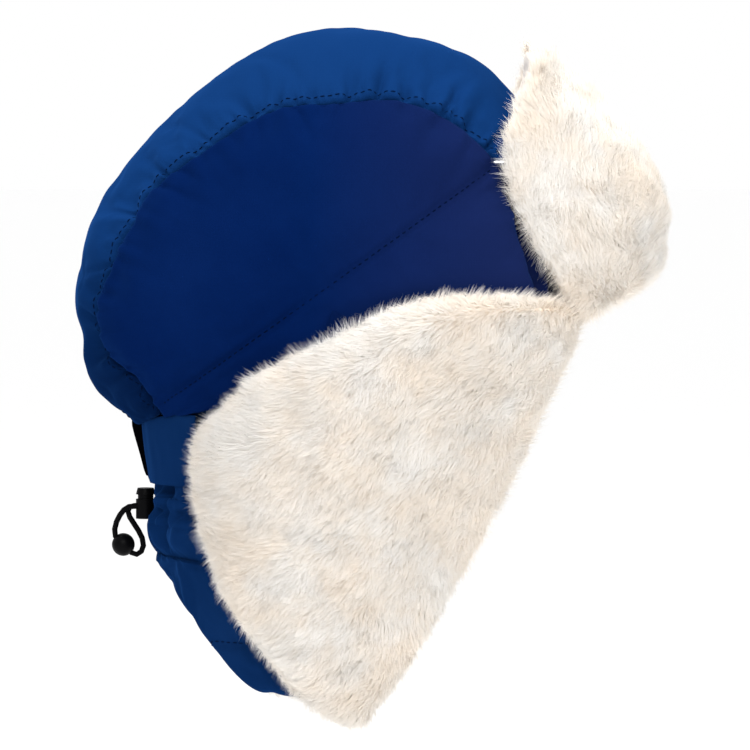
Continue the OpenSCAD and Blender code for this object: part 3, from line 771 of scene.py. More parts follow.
def side_settled():
    x, z = np.meshgrid(LATTICE_X, LATTICE_Z, indexing="ij")
    phi = np.mod(np.degrees(np.arctan2(z - CENTRE_Z, x)), 360)
    t = np.hypot(x, z - CENTRE_Z) / side_reach(phi)
    inside = t < 1
    p, n, d = side_rest(phi, np.minimum(t, 1))
    across, _ = quilt_place(p)
    free = smooth((d - 1) / 4) * smooth((np.abs(across) - 1.5) / 5)
    moved = settle(p, free * inside, 3.0, -0.035, 4.0, inside)
    return moved * inside[..., None]


SIDE_MOVED = side_settled()


def side_surface(phi, t):
    p, n, d = side_rest(phi, t)
    a = (p[..., 0] - LATTICE_X[0]) / (LATTICE_X[-1] - LATTICE_X[0])
    b = (p[..., 2] - LATTICE_Z[0]) / (LATTICE_Z[-1] - LATTICE_Z[0])
    moved = sampled(SIDE_MOVED, a, b) * smooth(d / 4)[..., None]
    crease = pinches(seam_run(phi), d, 3, SEAM_RUN[-1], 13, 2.2, 18)
    soft = noise(p, 80.0, 5) * 2.0 * smooth(d / 14)
    across, run = quilt_place(p)
    quilt = -1.7 * groove(across, 1.8) - 1.2 * groove(across, 9.0)
    brow = 79.5 + 13 * np.clip((90 - p[..., 2]) / 48, 0, 1)
    quilt -= 10.0 * smooth((p[..., 0] - brow) / 4.0) * smooth((112 - p[..., 2]) / 12)
    quilt += pinches(run, np.abs(across), 23, 215, 9, 0.6, 12)
    return p + moved + n * (crease * smooth(d / 1.5) + soft + quilt * smooth(d / 7))[..., None], n


def groove(d, width):
    """1 in the middle of a groove, falling to 0 at its sides."""
    return np.exp(-((d / width) ** 2))


def split(quads):
    return np.concatenate([quads[:, [0, 1, 2]], quads[:, [0, 2, 3]]])


def disc(name, surface, rows, around, low, high, material, sign):
    """A round panel between two depths."""
    phi = np.linspace(0, 360, around, endpoint=False)[:, None] * np.ones(rows)
    t = (1 - (1 - np.linspace(0.02, 1, rows)) ** 1.5)[None, :] * np.ones((around, 1))
    p, n = surface(phi, t)
    top = (p - n * low).reshape(-1, 3)
    under = (p - n * high).reshape(-1, 3)
    count = around * rows
    inner = np.arange(around) * rows
    verts = np.concatenate([top, under, [top[inner].mean(0)], [under[inner].mean(0)]]) * sign
    after = np.roll(inner, -1)
    fan = np.stack([np.full(around, 2 * count), inner, after], -1)
    fan_under = np.stack([np.full(around, 2 * count + 1), after + count, inner + count], -1)
    faces = [
        split(grid_faces(around, rows, closed=True)),
        split(grid_faces(around, rows, start=count, closed=True, flip=True)),
        split(rim_faces(inner + rows - 1, count)),
        fan[:, ::-1],
        fan_under[:, ::-1],
    ]
    obj = make_object(name, verts, np.concatenate(faces), material, "hat")
    fix_normals(obj)
    return obj


def lining_surface(phi, t):
    """The quilted lining under a side panel, without the shell's creases."""
    p, n, d = side_rest(phi, t)
    quilt = np.abs(np.sin(p[..., 0] * 0.11 + p[..., 2] * 0.11)) * np.abs(np.sin(p[..., 0] * 0.11 - p[..., 2] * 0.11))
    return p - n * (1.5 * quilt**0.5)[..., None], n


def side_panels():
    fine = 1
    for side in ("right", "left"):
        sign = np.array([1.0, -1.0 if side == "left" else 1.0, 1.0])
        shell = disc(f"crown_side_shell_{side}", side_surface, 56 // fine, 400 // fine, 0, 1.2, NAVY_SIDE, sign)
        pad_under = disc(f"crown_side_filling_{side}", side_surface, 32, 160, 3.0, 7.6, WADDING, sign)
        lining = disc(f"crown_side_inner_{side}", lining_surface, 40, 160, 8.4, 10.4, PLUSH, sign)
        for obj, node, finish in (
            (shell, "crown_side_panel", "navy_shell"), (pad_under, "crown_side_wadding", "wadding"),
            (lining, "crown_side_lining", "quilted_lining"),
        ):
            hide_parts(f"{node}_{side}")


TOP_WIDTH = 62.0


def top_rest(a, b):
    """A top panel before the cloth settles: a runs from front to back and b from the middle seam out."""
    phi = mix(FRONT_TOP_PHI + 0.3, CROWN_BACK_PHI, a)
    beta = mix(0.0, seam_beta(phi), b)
    p = crown_point(phi, beta, 0)
    n = crown_normal(phi, beta)
    wide = np.interp(phi, [40, 90, 131, 180, 212], [72, 74, 60, 48, 44])
    sink = sewn_edge((1 - b) * wide, 3.2, 3.2) + sewn_edge(b * wide, 2.0, 2.0)
    sink += 1.2 * smooth((phi - 150) / 20) - 5.5 * smooth((phi - 186) / 22) * (1 - b**5)
    end = np.minimum(a * 290, (1 - a) * 290)
    return p - n * (sink + roll(end, 2.4))[..., None], n, phi, wide


def top_settled():
    a, b = uv_grid(90, 20)
    p, n, _, _ = top_rest(a, b)
    edge = np.minimum(b, 1 - b)
    free = smooth((edge - 0.02) / 0.1) * smooth((np.minimum(a, 1 - a) - 0.004) / 0.02)
    return settle(p, free, 3.0, -0.035, 4.0)


TOP_MOVED = top_settled()


def top_surface(a, b):
    p, n, phi, wide = top_rest(a, b)
    edge = np.minimum(b, 1 - b)
    moved = sampled(TOP_MOVED, a, b) * smooth(edge * 16)[..., None]
    run = seam_run(phi)
    crease = pinches(run, (1 - b) * wide, 31, SEAM_RUN[-1], 11, 3.6, 21) * smooth((1 - b) * wide / 1.5)
    crease += pinches(run, (1 - b) * wide, 36, SEAM_RUN[-1], 46, 3.6, 30, 4.5) * smooth((1 - b) * wide / 2.5)
    crease += pinches(run, b * wide, 33, SEAM_RUN[-1], 15, 1.0, 10) * smooth(b * wide / 1.5)
    soft = noise(p, 60.0, 41) * 2.0 * np.sin(np.pi * b)
    gather = np.exp(-(1 - b) * wide / 4.5) * smooth((1 - b) * wide / 1.2)
    crease += 0.5 * np.sin(run * 1.75 + 2.0 * noise(p, 12.0, 43)) * gather * (0.6 + 0.6 * noise(p, 30.0, 44))
    return p + moved + n * (crease + soft)[..., None], n


def top_panels():
    fine = 1
    a, b = uv_grid(520 // fine, 64 // fine)
    b = 0.5 - 0.5 * np.cos(np.pi * b) * (0.6 + 0.4 * np.abs(np.cos(np.pi * b)))
    layers("crown_top_shell", top_surface, a, b, NAVY, "hat", "crown_top_panel", "navy_shell", 0.5)


def gusset_surface(a, b):
    """The whole gusset from seam to seam, for what lies under the top panels."""
    side = np.abs(2 * b - 1)
    phi = mix(10 - 16 * side**2, CROWN_BACK_PHI, a)
    beta = seam_beta(phi) * side
    p = crown_point(phi, beta, 0)
    n = crown_normal(phi, beta)
    flip = np.where(b < 0.5, 1.0, -1.0)
    p = p - n * (3.2 * np.exp(-(1 - side) * 70 / 13) + 2.0 * np.exp(-side * 70 / 13))[..., None]
    p[..., 1] *= flip
    n[..., 1] *= flip
    return p, n


def gusset_lining(a, b):
    p, n = gusset_surface(a, b)
    wave = np.abs(np.sin(a * 44 + b * 16)) * np.abs(np.sin(a * 44 - b * 16))
    return p - n * (1.5 * wave**0.5)[..., None], n


def gusset_layers():
    a, b = uv_grid(140, 60, 0.01, 0.96, 0.07, 0.93)
    filling("crown_top_filling", gusset_surface, a, b, 6.4, 9.4, WADDING, "hat", "crown_top_wadding", flips=("",))
    a, b = uv_grid(220, 110, 0.0, 0.99, 0.02, 0.98)
    filling(
        "crown_top_inner", gusset_lining, a, b, 8.4, 10.4, PLUSH, "hat", "crown_top_lining",
        flips=("",),
    )


def front_surface(a, b):
    side = np.abs(2 * b - 1)
    low = 10 - 16 * side**2
    phi = mix(low, FRONT_TOP_PHI - 0.3, a)
    beta = seam_beta(phi) * side * 0.998
    p = crown_point(phi, beta, 0)
    n = crown_normal(phi, beta)
    d = (1 - side) * 66
    sink = sewn_edge(d, 2.4, 3.0) + roll((1 - a) * 60, 3.0) + roll(a * 60, 3.0)
    crease = pinches(a * 62, d, 51, 62, 8, 0.9, 12) + noise(p, 45.0, 53) * 1.0
    p = p + n * (crease * smooth(d / 2) - sink)[..., None]
    flip = np.where(b < 0.5, 1.0, -1.0)
    p[..., 1] *= flip
    n[..., 1] *= flip
    return p, n


def front_panel():
    a, b = uv_grid(90, 180)
    # The brow panel's near-black navy is painted shade.
    layers("crown_front_shell", front_surface, a, b, NAVY_BROW_SHADE, "hat", "crown_front_panel", "navy_shell", 0.4, flips=("",))


side_panels()
top_panels()
gusset_layers()
front_panel()



def stitch_rows():
    """Topstitching beside the gusset's seams, and the quilting on the side panels."""
    phi = np.linspace(FRONT_TOP_PHI + 2, CROWN_BACK_PHI - 2, 900)
    wide = np.interp(phi, [40, 90, 131, 180, 212], [72, 74, 60, 48, 44])
    share = (phi - FRONT_TOP_PHI - 0.3) / (CROWN_BACK_PHI - FRONT_TOP_PHI - 0.3)
    rows = [("gusset_topstitch", *top_surface(share, 1 - 3.2 / wide)), ("middle_topstitch", *top_surface(share, 2.2 / wide))]
    line = np.linspace(0, 1, 700)[:, None] * (QUILT_B - QUILT_A) + QUILT_A
    phi = np.mod(np.degrees(np.arctan2(line[:, 1] - CENTRE_Z, line[:, 0])), 360)
    t = np.hypot(line[:, 0], line[:, 1] - CENTRE_Z) / side_reach(phi)
    inside = t < 0.97
    rows.append(("side_quilting", *side_surface(phi[inside], t[inside])))
    s = np.linspace(0.25, 1.2, 400)
    b = 0.86 * (-122 - GUARD_Z - 3) / (hem_at(s) + 5.5 - GUARD_Z - 3)
    rows.append(("ear_flap_quilting", *ear_surface((s - 0.02) / 1.965, b)))
    for name, p, n in rows:
        for side, turn in (("right", 1.0), ("left", -1.0)):
            sign = np.array([1.0, turn, 1.0])
            stitch_bars(f"{name}_{side}", p * sign, n * sign, 3.6, 2.5, 0.55, THREAD, "hat")


# ---- Hood ----

BACK_LOOK = [
    [-180, 80], [-120, 81], [-100, 83], [-90, 83.5], [-86, 84.5], [-80, 88], [-74, 89.5], [-68, 89], [-63, 87.5],
    [-56, 86.5], [-48, 85], [-36, 83], [-25, 83], [0, 84], [20, 86],
]
BACK_ARC = 125.0


def hood_outward(p):
    return p * np.array([1.0, 1.0, 0.0]) - np.array([CHEEK_X, 0, 0])


def hood_frame(s, z, out):
    """Points of the hood, and the level direction out from it."""
    s, z, out = np.broadcast_arrays(np.asarray(s, float), np.asarray(z, float), np.asarray(out, float))
    p = hood_point(s, z, out)
    n = hood_point(s, z, out + 1) - p
    return p, n / np.linalg.norm(n, axis=-1, keepdims=True)


def band_z(x):
    return BAND_SLOPE * x + 1.5


def back_fullness(s, z):
    """How much fuller the back of the hood is than in the frame, except round the cord lock."""
    near = smooth((np.abs(s) * BACK_ARC - 7) / 8)
    low = groove(z + 66, 16)
    return (value(BACK_LOOK, z) - value(BACK, z)) * (1 - low * (1 - near)) * cosd(np.clip(s, -1, 1) * 80)


def guard_rest(a, b):
    s = mix(0.985, -0.985, a)
    top = hood_point(s, np.full_like(s, -15.0), 0)
    z = mix(band_z(top[..., 0]), GUARD_Z, b)
    p, n = hood_frame(s, z, back_fullness(s, z))
    return p, n, s, z


def gathers(s, z):
    """The neck's gathers above and below the drawcord, and the crease that it pulls in."""
    run = (s + 1) * BACK_ARC
    near = smooth((np.abs(s) * BACK_ARC - 5) / 7)
    high = pinches(run, np.abs(z + 62), 61, 2 * BACK_ARC, 10, 2.6, 15, 1.6) * smooth((z + 64) / 4)
    low = pinches(run, np.abs(z + 62), 63, 2 * BACK_ARC, 9, 3.6, 19, 1.9) * smooth((-60 - z) / 4)
    crease = -3.0 * groove(z + 62.5, 2.4) * (1 + 0.5 * np.sin(run / 4))
    pleat = (np.abs(s) - 0.275) * BACK_ARC + 0.06 * (z + 60)
    pleat = (2.2 * np.exp(-(((np.abs(pleat) - 9) / 7) ** 2)) - 4.5 * groove(pleat, 2.6)) * smooth((z + 86) / 10)
    return (high + low + crease + pleat * smooth((-38 - z) / 8)) * near


def guard_settled():
    a, b = uv_grid(110, 30)
    p, n, s, z = guard_rest(a, b)
    free = smooth((np.abs(z + 63) - 2) / 5) * smooth((1 - b) / 0.08) * smooth(b / 0.08)
    free = free * smooth(np.minimum(a, 1 - a) / 0.03) * smooth((np.abs(s) * BACK_ARC - 5) / 6)
    return settle(p, free, 3.0, -0.09, 4.0)


GUARD_MOVED = guard_settled()


def guard_surface(a, b):
    p, n, s, z = guard_rest(a, b)
    ends = roll((1 - b) * 60, 4.0) + roll(b * 60, 2.0)
    edge = smooth(np.minimum(b, 1 - b) * 14)
    moved = sampled(GUARD_MOVED, a, b) * edge[..., None]
    return p + moved + n * (gathers(s, z) * edge - ends)[..., None], n


def neck_guard():
    a, b = uv_grid(440, 104)
    layers("neck_guard_shell", guard_surface, a, b, NAVY_HOOD, "hat", "neck_guard_panel", "navy_shell", 0.6, flips=("",))
    a, b = uv_grid(120, 40, 0.01, 0.99, 0.05, 0.95)
    filling(
        "neck_guard_filling", guard_surface, a, b, 1.6, 6.0, WADDING, "hat", "neck_guard_wadding",
        flips=("",),
    )


def channel_surface(a, b):
    s = mix(0.94, -0.94, a)
    z = -63 + 14 * (0.5 - b)
    share = (z - (-20.0)) / (GUARD_Z + 20.0)
    g, _, _, _ = guard_rest(a, share)
    p, n = hood_frame(s, z, back_fullness(s, z))
    lift = 0.5 + 1.0 * np.sin(np.pi * b) ** 0.5
    near = 1 - smooth((np.abs(s) * BACK_ARC - 5) / 7)
    inner = (1.0 + 3.4 * np.sin(np.pi * b) ** 0.7) * near
    over_cord = 5.0 * groove(z + 63, 4.0) - back_fullness(s, z)
    return p + n * np.maximum(gathers(s, z) + lift + inner, over_cord)[..., None], n


def hem_at(s):
    """Height of an ear flap's hem, drawn up by its padding towards the tip."""
    return value(HEM, s) + 7.0 * smooth((s - 0.45) / 0.25) + 3.0 * smooth((s - 0.9) / 0.4)


def ear_rest(a, b):
    """An ear flap from its seam (b = 0) to its hem, and round the hem to the inside (b = 1)."""
    s = mix(0.02, 1.985, a)
    hem = hem_at(s)
    curl = 5.5
    down = np.clip(b / 0.86, 0, 1)
    turn = 165 * np.clip((b - 0.86) / 0.14, 0, 1)
    z = mix(GUARD_Z + 3.0, hem + curl, down) - curl * sind(turn)
    fullness = back_fullness(s, z) + 1.5 - 3.5 * (1 - smooth(b / 0.06))
    p, n = hood_frame(s, z, fullness - curl * (1 - cosd(turn)))
    return p, n, s, z, down, turn


def ear_settled():
    a, b = uv_grid(70, 26)
    p, n, s, z, down, turn = ear_rest(a, b)
    free = smooth(b / 0.12) * smooth((0.96 - b) / 0.08) * smooth(np.minimum(a, 1 - a) / 0.04)
    free = free * smooth((np.abs(z + 122) - 1) / 4)
    return settle(p, free, 3.0, -0.04, 3.5)


EAR_MOVED = ear_settled()


def ear_surface(a, b):
    p, n, s, z, down, turn = ear_rest(a, b)
    edge = smooth(b * 20) * smooth((1 - b) * 20)
    moved = sampled(EAR_MOVED, a, b) * edge[..., None]
    run = s * 110
    crease = pinches(run, np.abs(z + 122), 81, 220, 9, 0.7, 9) - 1.0 * groove(z + 122, 2.6)
    crease += pinches(run, down * 55, 83, 220, 13, 1.6, 16) * 0.8
    ends = roll(b * 60, 3.0)
    return p + moved + n * (crease * (turn < 1) * edge + noise(p, 50.0, 85) * 1.2 * edge - ends)[..., None], n


def ear_flaps():
    a, b = uv_grid(300, 100)
    layers("ear_flap_shell", ear_surface, a, b, NAVY_HOOD, "hat", "ear_flap", "navy_shell", 0.5)


def cheek_surface(a, b):
    top_back = np.array([CHEEK_X - 1, band_z(CHEEK_X - 1)])
    top_front = np.array([112.0, band_z(112.0)])
    low_front = np.array([fold_x(GUARD_Z) - 1, GUARD_Z])
    low_back = np.array([CHEEK_X - 1, GUARD_Z])
    u, w = a[..., None], b[..., None]
    q = mix(mix(top_back, low_back, w), mix(top_front, low_front, w), u)
    p = np.stack([q[..., 0], -side_y(q[..., 0], q[..., 1]), q[..., 1]], -1)
    n = np.zeros_like(p)
    n[..., 1] = -1.0
    return p + n * (noise(p, 40.0, 91) * 0.7 - 0.9)[..., None], n


def cheeks():
    a, b = uv_grid(90, 80)
    layers("cheek_shell", cheek_surface, a, b, NAVY_HOOD, "hat", "cheek_panel", "navy_shell", 0.4)


def hood_lining(name, surface, a, b, low, high, node, flips):
    filling(name, surface, a, b, low, high, FUR_BASE, "hat", node, flips=flips)


def ear_inner(a, b):
    s = mix(0.03, 1.97, a)
    z = mix(GUARD_Z + 2, hem_at(s) + 3.5, b)
    p, n = hood_frame(s, z, back_fullness(s, z))
    return p, n


def guard_inner(a, b):
    p, n, s, z = guard_rest(a, b)
    return p, n


neck_guard()
layers("cord_channel_strip", channel_surface, *uv_grid(460, 30), NAVY_HOOD, "hat", "cord_channel", "navy_shell", 0.5, 0.8, ("",))
ear_flaps()
cheeks()
stitch_rows()
hood_lining("ear_flap_lining", ear_inner, *uv_grid(90, 40), 5.0, 12.5, "ear_flap_fur", ("right", "left"))
hood_lining("cheek_lining", cheek_surface, *uv_grid(60, 50), 3.0, 12.0, "cheek_fur", ("right", "left"))
hood_lining("neck_guard_lining", guard_inner, *uv_grid(160, 56, 0.01, 0.99, -0.1, 0.99), 7.0, 13.0, "neck_guard_fur", ("",))

# ---- Pads: closed layers with rounded rims ----


def rim_share(u, v, u_round, v_round):
    """0 on the rim of a pad and 1 inside it, rising like a quarter circle."""
    du = np.clip(np.minimum(u, 1 - u) / u_round, 0, 1)
    dv = np.clip(np.minimum(v, 1 - v) / v_round, 0, 1)
    return np.sqrt(np.clip(1 - (1 - du) ** 2, 0, 1)) * np.sqrt(np.clip(1 - (1 - dv) ** 2, 0, 1))


def pad(name, point, low, high, u, v, rounds, material, body, lumps=0.0, size=20.0, seed=1, keep=0.12):
    share = keep + (1 - keep) * rim_share(*rounds)
    middle = low + (high - low) * 0.35
    far = point(u, v, middle + (high - middle) * share)
    near = point(u, v, middle - (middle - low) * share)
    if lumps:
        bulge = noise(far, size, seed) * lumps * share
        far = point(u, v, middle + (high - middle) * share + bulge)
    return slab(name, near, far, material, body)


SHELL_T = 1.4
GAP = 0.4
LAPEL_WADDING_T = 6.0
LAPEL_FUR_T = 11.0
LAPEL_FUR_OUT = SHELL_T + 2 * GAP + LAPEL_WADDING_T
VISOR_FUR_T = 13.0
VISOR_FUR_OUT = SHELL_T + 2 * GAP + 6.0


def lapel_pile_point(u, v, out):
    """The lapel's fur, fuller than its backing along the top edge and short of it at the tip."""
    p = lapel_point(u, v, out)
    p[..., 2] += 7.0 * (1 - smooth(u / 0.45)) + 5.0 * smooth((u - 0.8) / 0.2)
    inwards = 5.5 * smooth((u - 0.5) / 0.12) * (1 - smooth((u - 0.86) / 0.14)) * v
    p[..., 0] += inwards
    p[..., 1] -= 0.5 * inwards
    p[..., 0] += 2.2 * (1 - smooth(v / 0.2)) * smooth(u / 0.1)
    return p


def lapels():
    u, v = uv_grid(150, 80)
    uu = mix(0.012, 0.988, u)
    for side in ("right", "left"):
        turn = 1.0 if side == "right" else -1.0

        def point(a, b, out, turn=turn):
            return lapel_point(a, b, out) * np.array([1, turn, 1])

        def pile_point(a, b, out, turn=turn):
            return lapel_pile_point(a, b, out) * np.array([1, turn, 1])

        body = f"lapel_{side}"
        shell = pad(f"lapel_backing_{side}", point, 0, SHELL_T, uu, mix(0.0, 0.985, v), (u, v, 0.05, 0.05), NAVY_HOOD, body)
        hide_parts(f"lapel_shell_{side}")
        wad = pad(
            f"lapel_filling_{side}", point, SHELL_T + GAP, LAPEL_FUR_OUT - GAP, uu, mix(0.02, 0.96, v),
            (u, v, 0.08, 0.12), WADDING, body, 0.6, 18.0, 7,
        )
        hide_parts(f"lapel_wadding_{side}")
        fur = pad(
            f"lapel_pile_ground_{side}", pile_point, LAPEL_FUR_OUT - 5.0, LAPEL_FUR_OUT + 5.0,
            mix(0.0, 0.985, u), mix(-0.03, 1.01, v),
            (u, v, 0.10, 0.16), FUR_BASE, body, 1.4, 30.0, 11,
        )
        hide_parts(f"lapel_fur_{side}")


def visor_pile_point(u, v, out):
    """The visor's fur, which spreads rearwards past the backing at its sides and thins to its top."""
    side = smooth((np.abs(u) - 0.72) / 0.28)
    p = visor_point(u, v, out)
    p[..., 0] -= side * 11.5 * np.sin(np.pi * np.clip(v * 1.02, 0, 1))
    p[..., 1] *= 1 - 0.05 * side
    flat = np.exp(-(((v - 0.8) / 0.24) ** 2)) * (1 - np.abs(u) ** 3)
    low = (1 - smooth(v / 0.35)) * (1 - 0.6 * np.abs(u) ** 2)
    p[..., 0] -= 5.0 * flat + 6.0 * smooth((v - 0.78) / 0.2) * (1 - np.abs(u) ** 3) + 2.5 * low
    p[..., 2] += 5.0 * smooth((v - 0.8) / 0.2) * (1.5 * smooth(np.abs(u) / 0.55) - 0.5) - 13.0 * low
    return trimmed(p, u, v, 3.0)


def trimmed(p, u, v, size):
    """Rounds off the visor's two top corners."""
    corner = smooth((v - 0.8) / 0.23) * smooth((np.abs(u) - 0.55) / 0.45)
    p[..., 0] += size * corner
    p[..., 2] -= size * corner
    return p


def visor_backing_point(u, v, out):
    return trimmed(visor_point(u, v, out), u, v, 9.0)


def visor():
    a, v = uv_grid(170, 90)
    u = mix(1.0, -1.0, a)
    shell = pad("visor_backing_cloth", visor_backing_point, 0, SHELL_T, u, v, (a, v, 0.04, 0.05), NAVY_HOOD, "visor")
    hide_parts("visor_backing")
    wad = pad(
        "visor_filling", visor_backing_point, SHELL_T + GAP, VISOR_FUR_OUT - GAP, u * 0.96, mix(0.04, 0.96, v),
        (a, v, 0.06, 0.1), WADDING, "visor", 0.6, 18.0, 8,
    )
    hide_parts("visor_wadding")
    fur = pad(
        "visor_pile_ground", visor_pile_point, VISOR_FUR_OUT - 6.0, VISOR_FUR_OUT + 8.0, u, mix(0.0, 1.03, v),
        (a, v, 0.14, 0.24), FUR_BASE, "visor", 1.3, 30.0, 12,
    )
    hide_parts("visor_fur")


lapels()
visor()

# ---- Fur fibres ----


def mesh_triangles(obj):
    mesh = obj.data
    co = np.empty(len(mesh.vertices) * 3)
    mesh.vertices.foreach_get("co", co)
    normal = np.empty(len(mesh.vertices) * 3)
    mesh.vertices.foreach_get("normal", normal)
    mesh.calc_loop_triangles()
    tri = np.empty(len(mesh.loop_triangles) * 3, np.int32)
    mesh.loop_triangles.foreach_get("vertices", tri)
    return co.reshape(-1, 3) / MM, normal.reshape(-1, 3), tri.reshape(-1, 3)


def hashed(cell, seed):
    """Three repeatable numbers from 0 to 1 for each whole-number cell."""
    k = cell.astype(np.int64)
    mixed = (k[:, 0] * 73856093) ^ (k[:, 1] * 19349663) ^ (k[:, 2] * 83492791) ^ (seed * 2654435761)
    out = []
    for salt in (1, 2, 3):
        h = (mixed * (salt * 1103515245 + 12345)) & 0x7FFFFFFF
        out.append(((h >> 7) % 10007) / 10007)
    return np.stack(out, -1)


def fibres(name, ground, comb, count, length, lean, body, keep=None, seed=1, width=0.26, clump=2.2, pull=0.26):
    """Tapered fibres over a ground mesh; comb holds the direction at each vertex that they lie in."""
    rng = np.random.default_rng(seed)
    co, vn, tri = mesh_triangles(ground)
    a, b, c = (co[tri[:, k]] for k in range(3))
    area = np.linalg.norm(np.cross(b - a, c - a), axis=1) / 2
    if keep is not None:
        area = area * keep((a + b + c) / 3, vn[tri].mean(1))
    pick = rng.choice(len(tri), size=count, p=area / area.sum())
    w = rng.dirichlet((1, 1, 1), count)[..., None]
    p = (co[tri[pick]] * w).sum(1)
    n = (vn[tri[pick]] * w).sum(1)
    n /= np.linalg.norm(n, axis=1, keepdims=True)
    t = (comb[tri[pick]] * w).sum(1)
    strength = np.clip(np.linalg.norm(t, axis=1), 0, 1)
    t = t - (t * n).sum(1, keepdims=True) * n
    t /= np.maximum(np.linalg.norm(t, axis=1, keepdims=True), 1e-6)
    swirl = noise(p, 40.0, seed // 100 + 5) * 0.5 + noise(p, 13.0, seed // 100 + 6) * 0.35 + rng.normal(0, 0.16, count)
    side = np.cross(n, t)
    t = t * np.cos(swirl)[:, None] + side * np.sin(swirl)[:, None]
    size = length * rng.uniform(0.62, 1.1, count) * (1 + 0.16 * noise(p, 14.0, seed // 100 + 7))
    k = (lean + 0.12 * noise(p, 20.0, seed // 100 + 8)) * (0.45 + 0.55 * strength) + rng.normal(0, 0.08, count)
    k = np.clip(k, 0.1, 1.45)
    mid = p + size[:, None] * 0.5 * (n * np.cos(k * 0.7)[:, None] + t * np.sin(k * 0.7)[:, None])
    tip = p + size[:, None] * (n * np.cos(k)[:, None] + t * np.sin(k)[:, None])
    warp = np.stack([noise(p, 9.0, seed // 100 + 20 + i) for i in range(3)], -1) * 1.5
    cell = np.floor((p + warp) / clump)
    centre = (cell + 0.5 + 0.6 * (hashed(cell, seed // 100) - 0.5)) * clump
    toward = centre - p
    toward -= (toward * n).sum(1, keepdims=True) * n
    tip = tip + toward * pull
    mid = mid + toward * pull * 0.4
    head = tip - p
    head /= np.linalg.norm(head, axis=1, keepdims=True)
    across = np.cross(head, n + rng.normal(0, 0.55, (count, 3)))
    across /= np.linalg.norm(across, axis=1, keepdims=True)
    facing = (np.cross(across, head) * n).sum(1) < 0
    across[facing] *= -1
    reach = across * width / 2
    verts = np.stack([p - reach, p + reach, mid - reach * 0.85, mid + reach * 0.85, tip], 1).reshape(-1, 3)
    base = np.arange(count)[:, None] * 5
    flat = np.array([[0, 1, 3], [0, 3, 2], [2, 3, 4]])
    faces = (base[:, :, None] + flat[None]).reshape(-1, 3)
    obj = make_object(name, verts, faces, FUR, body)
    attribute = obj.data.attributes.new("along", "FLOAT", "POINT")
    # Place along each fibre from root to tip, which the fur material uses for painted shade at the roots.
    tone = rng.uniform(-0.12, 0.12, count)[:, None] + np.array([0, 0, 0.5, 0.5, 1.0])
    attribute.data.foreach_set("value", np.clip(tone, 0, 1).ravel().astype(np.float32))
    soft = n[:, None, :] + head[:, None, :] * np.array([0.0, 0.0, 0.12, 0.12, 0.25])[None, :, None]
    soft = soft + rng.normal(0, 0.08, (count, 1, 3))
    soft /= np.linalg.norm(soft, axis=2, keepdims=True)
    obj.data.normals_split_custom_set_from_vertices(soft.reshape(-1, 3).astype(np.float32))
    return obj


def twice(grid):
    """One value for each vertex of both sides of a slab."""
    flat = grid.reshape(-1, 3)
    return np.concatenate([flat, flat])


def lapel_comb(turn):
    """Fur on a lapel lies away from its fold, apart from a strip that turns over the fold itself."""
    u, v = uv_grid(150, 80)
    uu, vv = mix(0.0, 0.985, u), mix(-0.03, 1.01, v)
    out = lapel_point(uu, vv + 0.01, 6) - lapel_point(uu, vv - 0.01, 6)
    out /= np.linalg.norm(out, axis=-1, keepdims=True)
    sign = smooth((v - 0.01) / 0.1) * 2 - 1
    rim = smooth((v - 0.7) / 0.3)
    down = np.array([-0.42, 0, -0.9])
    flow = out * (sign * (0.35 + 0.9 * rim))[..., None] + down * (1 - 0.75 * rim)[..., None]
    flow /= np.maximum(np.linalg.norm(flow, axis=-1, keepdims=True), 0.4)
    return twice(flow * np.array([1, turn, 1]))


def visor_comb():
    """Fur on the visor lies up and outwards from the middle of its fold."""
    a, v = uv_grid(170, 90)
    p = visor_point(mix(1.0, -1.0, a), v, 10)
    d = (p - np.array([118.0, 0.0, 48.0])) * np.array([1.0, 0.35, 1.0])
    d /= np.linalg.norm(d, axis=-1, keepdims=True)
    return twice(d)


def lapel_keep(turn):
    def keep(p, n):
        return np.where(n[:, 1] * turn < 0.3, 1.0, 0.0)
    return keep


def visor_keep(p, n):
    """None on the back of the visor, which faces the crown."""
    return np.clip((np.maximum(n[:, 0], np.sign(p[:, 1]) * n[:, 1] - 0.6) + 0.3) / 0.3, 0.0, 1.0)


def visor_rim_keep(p, n):
    """Guard hairs: mostly at the visor's two sides."""
    return visor_keep(p, n) * np.clip((np.sign(p[:, 1]) * n[:, 1] - 0.4) / 0.3, 0.04, 1.0)


FIBRES_PER_PIECE = 60000
PIECES = 3


def inner_keep(p, n):
    out = hood_outward(p)
    out /= np.linalg.norm(out, axis=1, keepdims=True)
    return np.where(((n * out).sum(1) < 0.4) & (n[:, 2] < 0.5), 1.0, 0.0)


def rim_keep(turn):
    """Guard hairs: mostly where the lapel's fur rounds its edge."""
    def keep(p, n):
        return np.where(n[:, 1] * turn < 0.3, 0.2 + 1.5 * (1 - np.abs(n[:, 1])) ** 1.5, 0.0)
    return keep


def spread_comb(obj, x, z):
    """Straight out from a line across the hat at x, z."""
    co, _, _ = mesh_triangles(obj)
    d = (co - np.array([x, 0.0, z])) * np.array([1.0, 0.0, 1.0])
    return d / np.maximum(np.linalg.norm(d, axis=1, keepdims=True), 1e-6)


def inner_comb(obj):
    """Fur inside the hood lies downwards."""
    return np.tile(np.array([0.0, 0.0, -1.0]), (len(obj.data.vertices), 1))


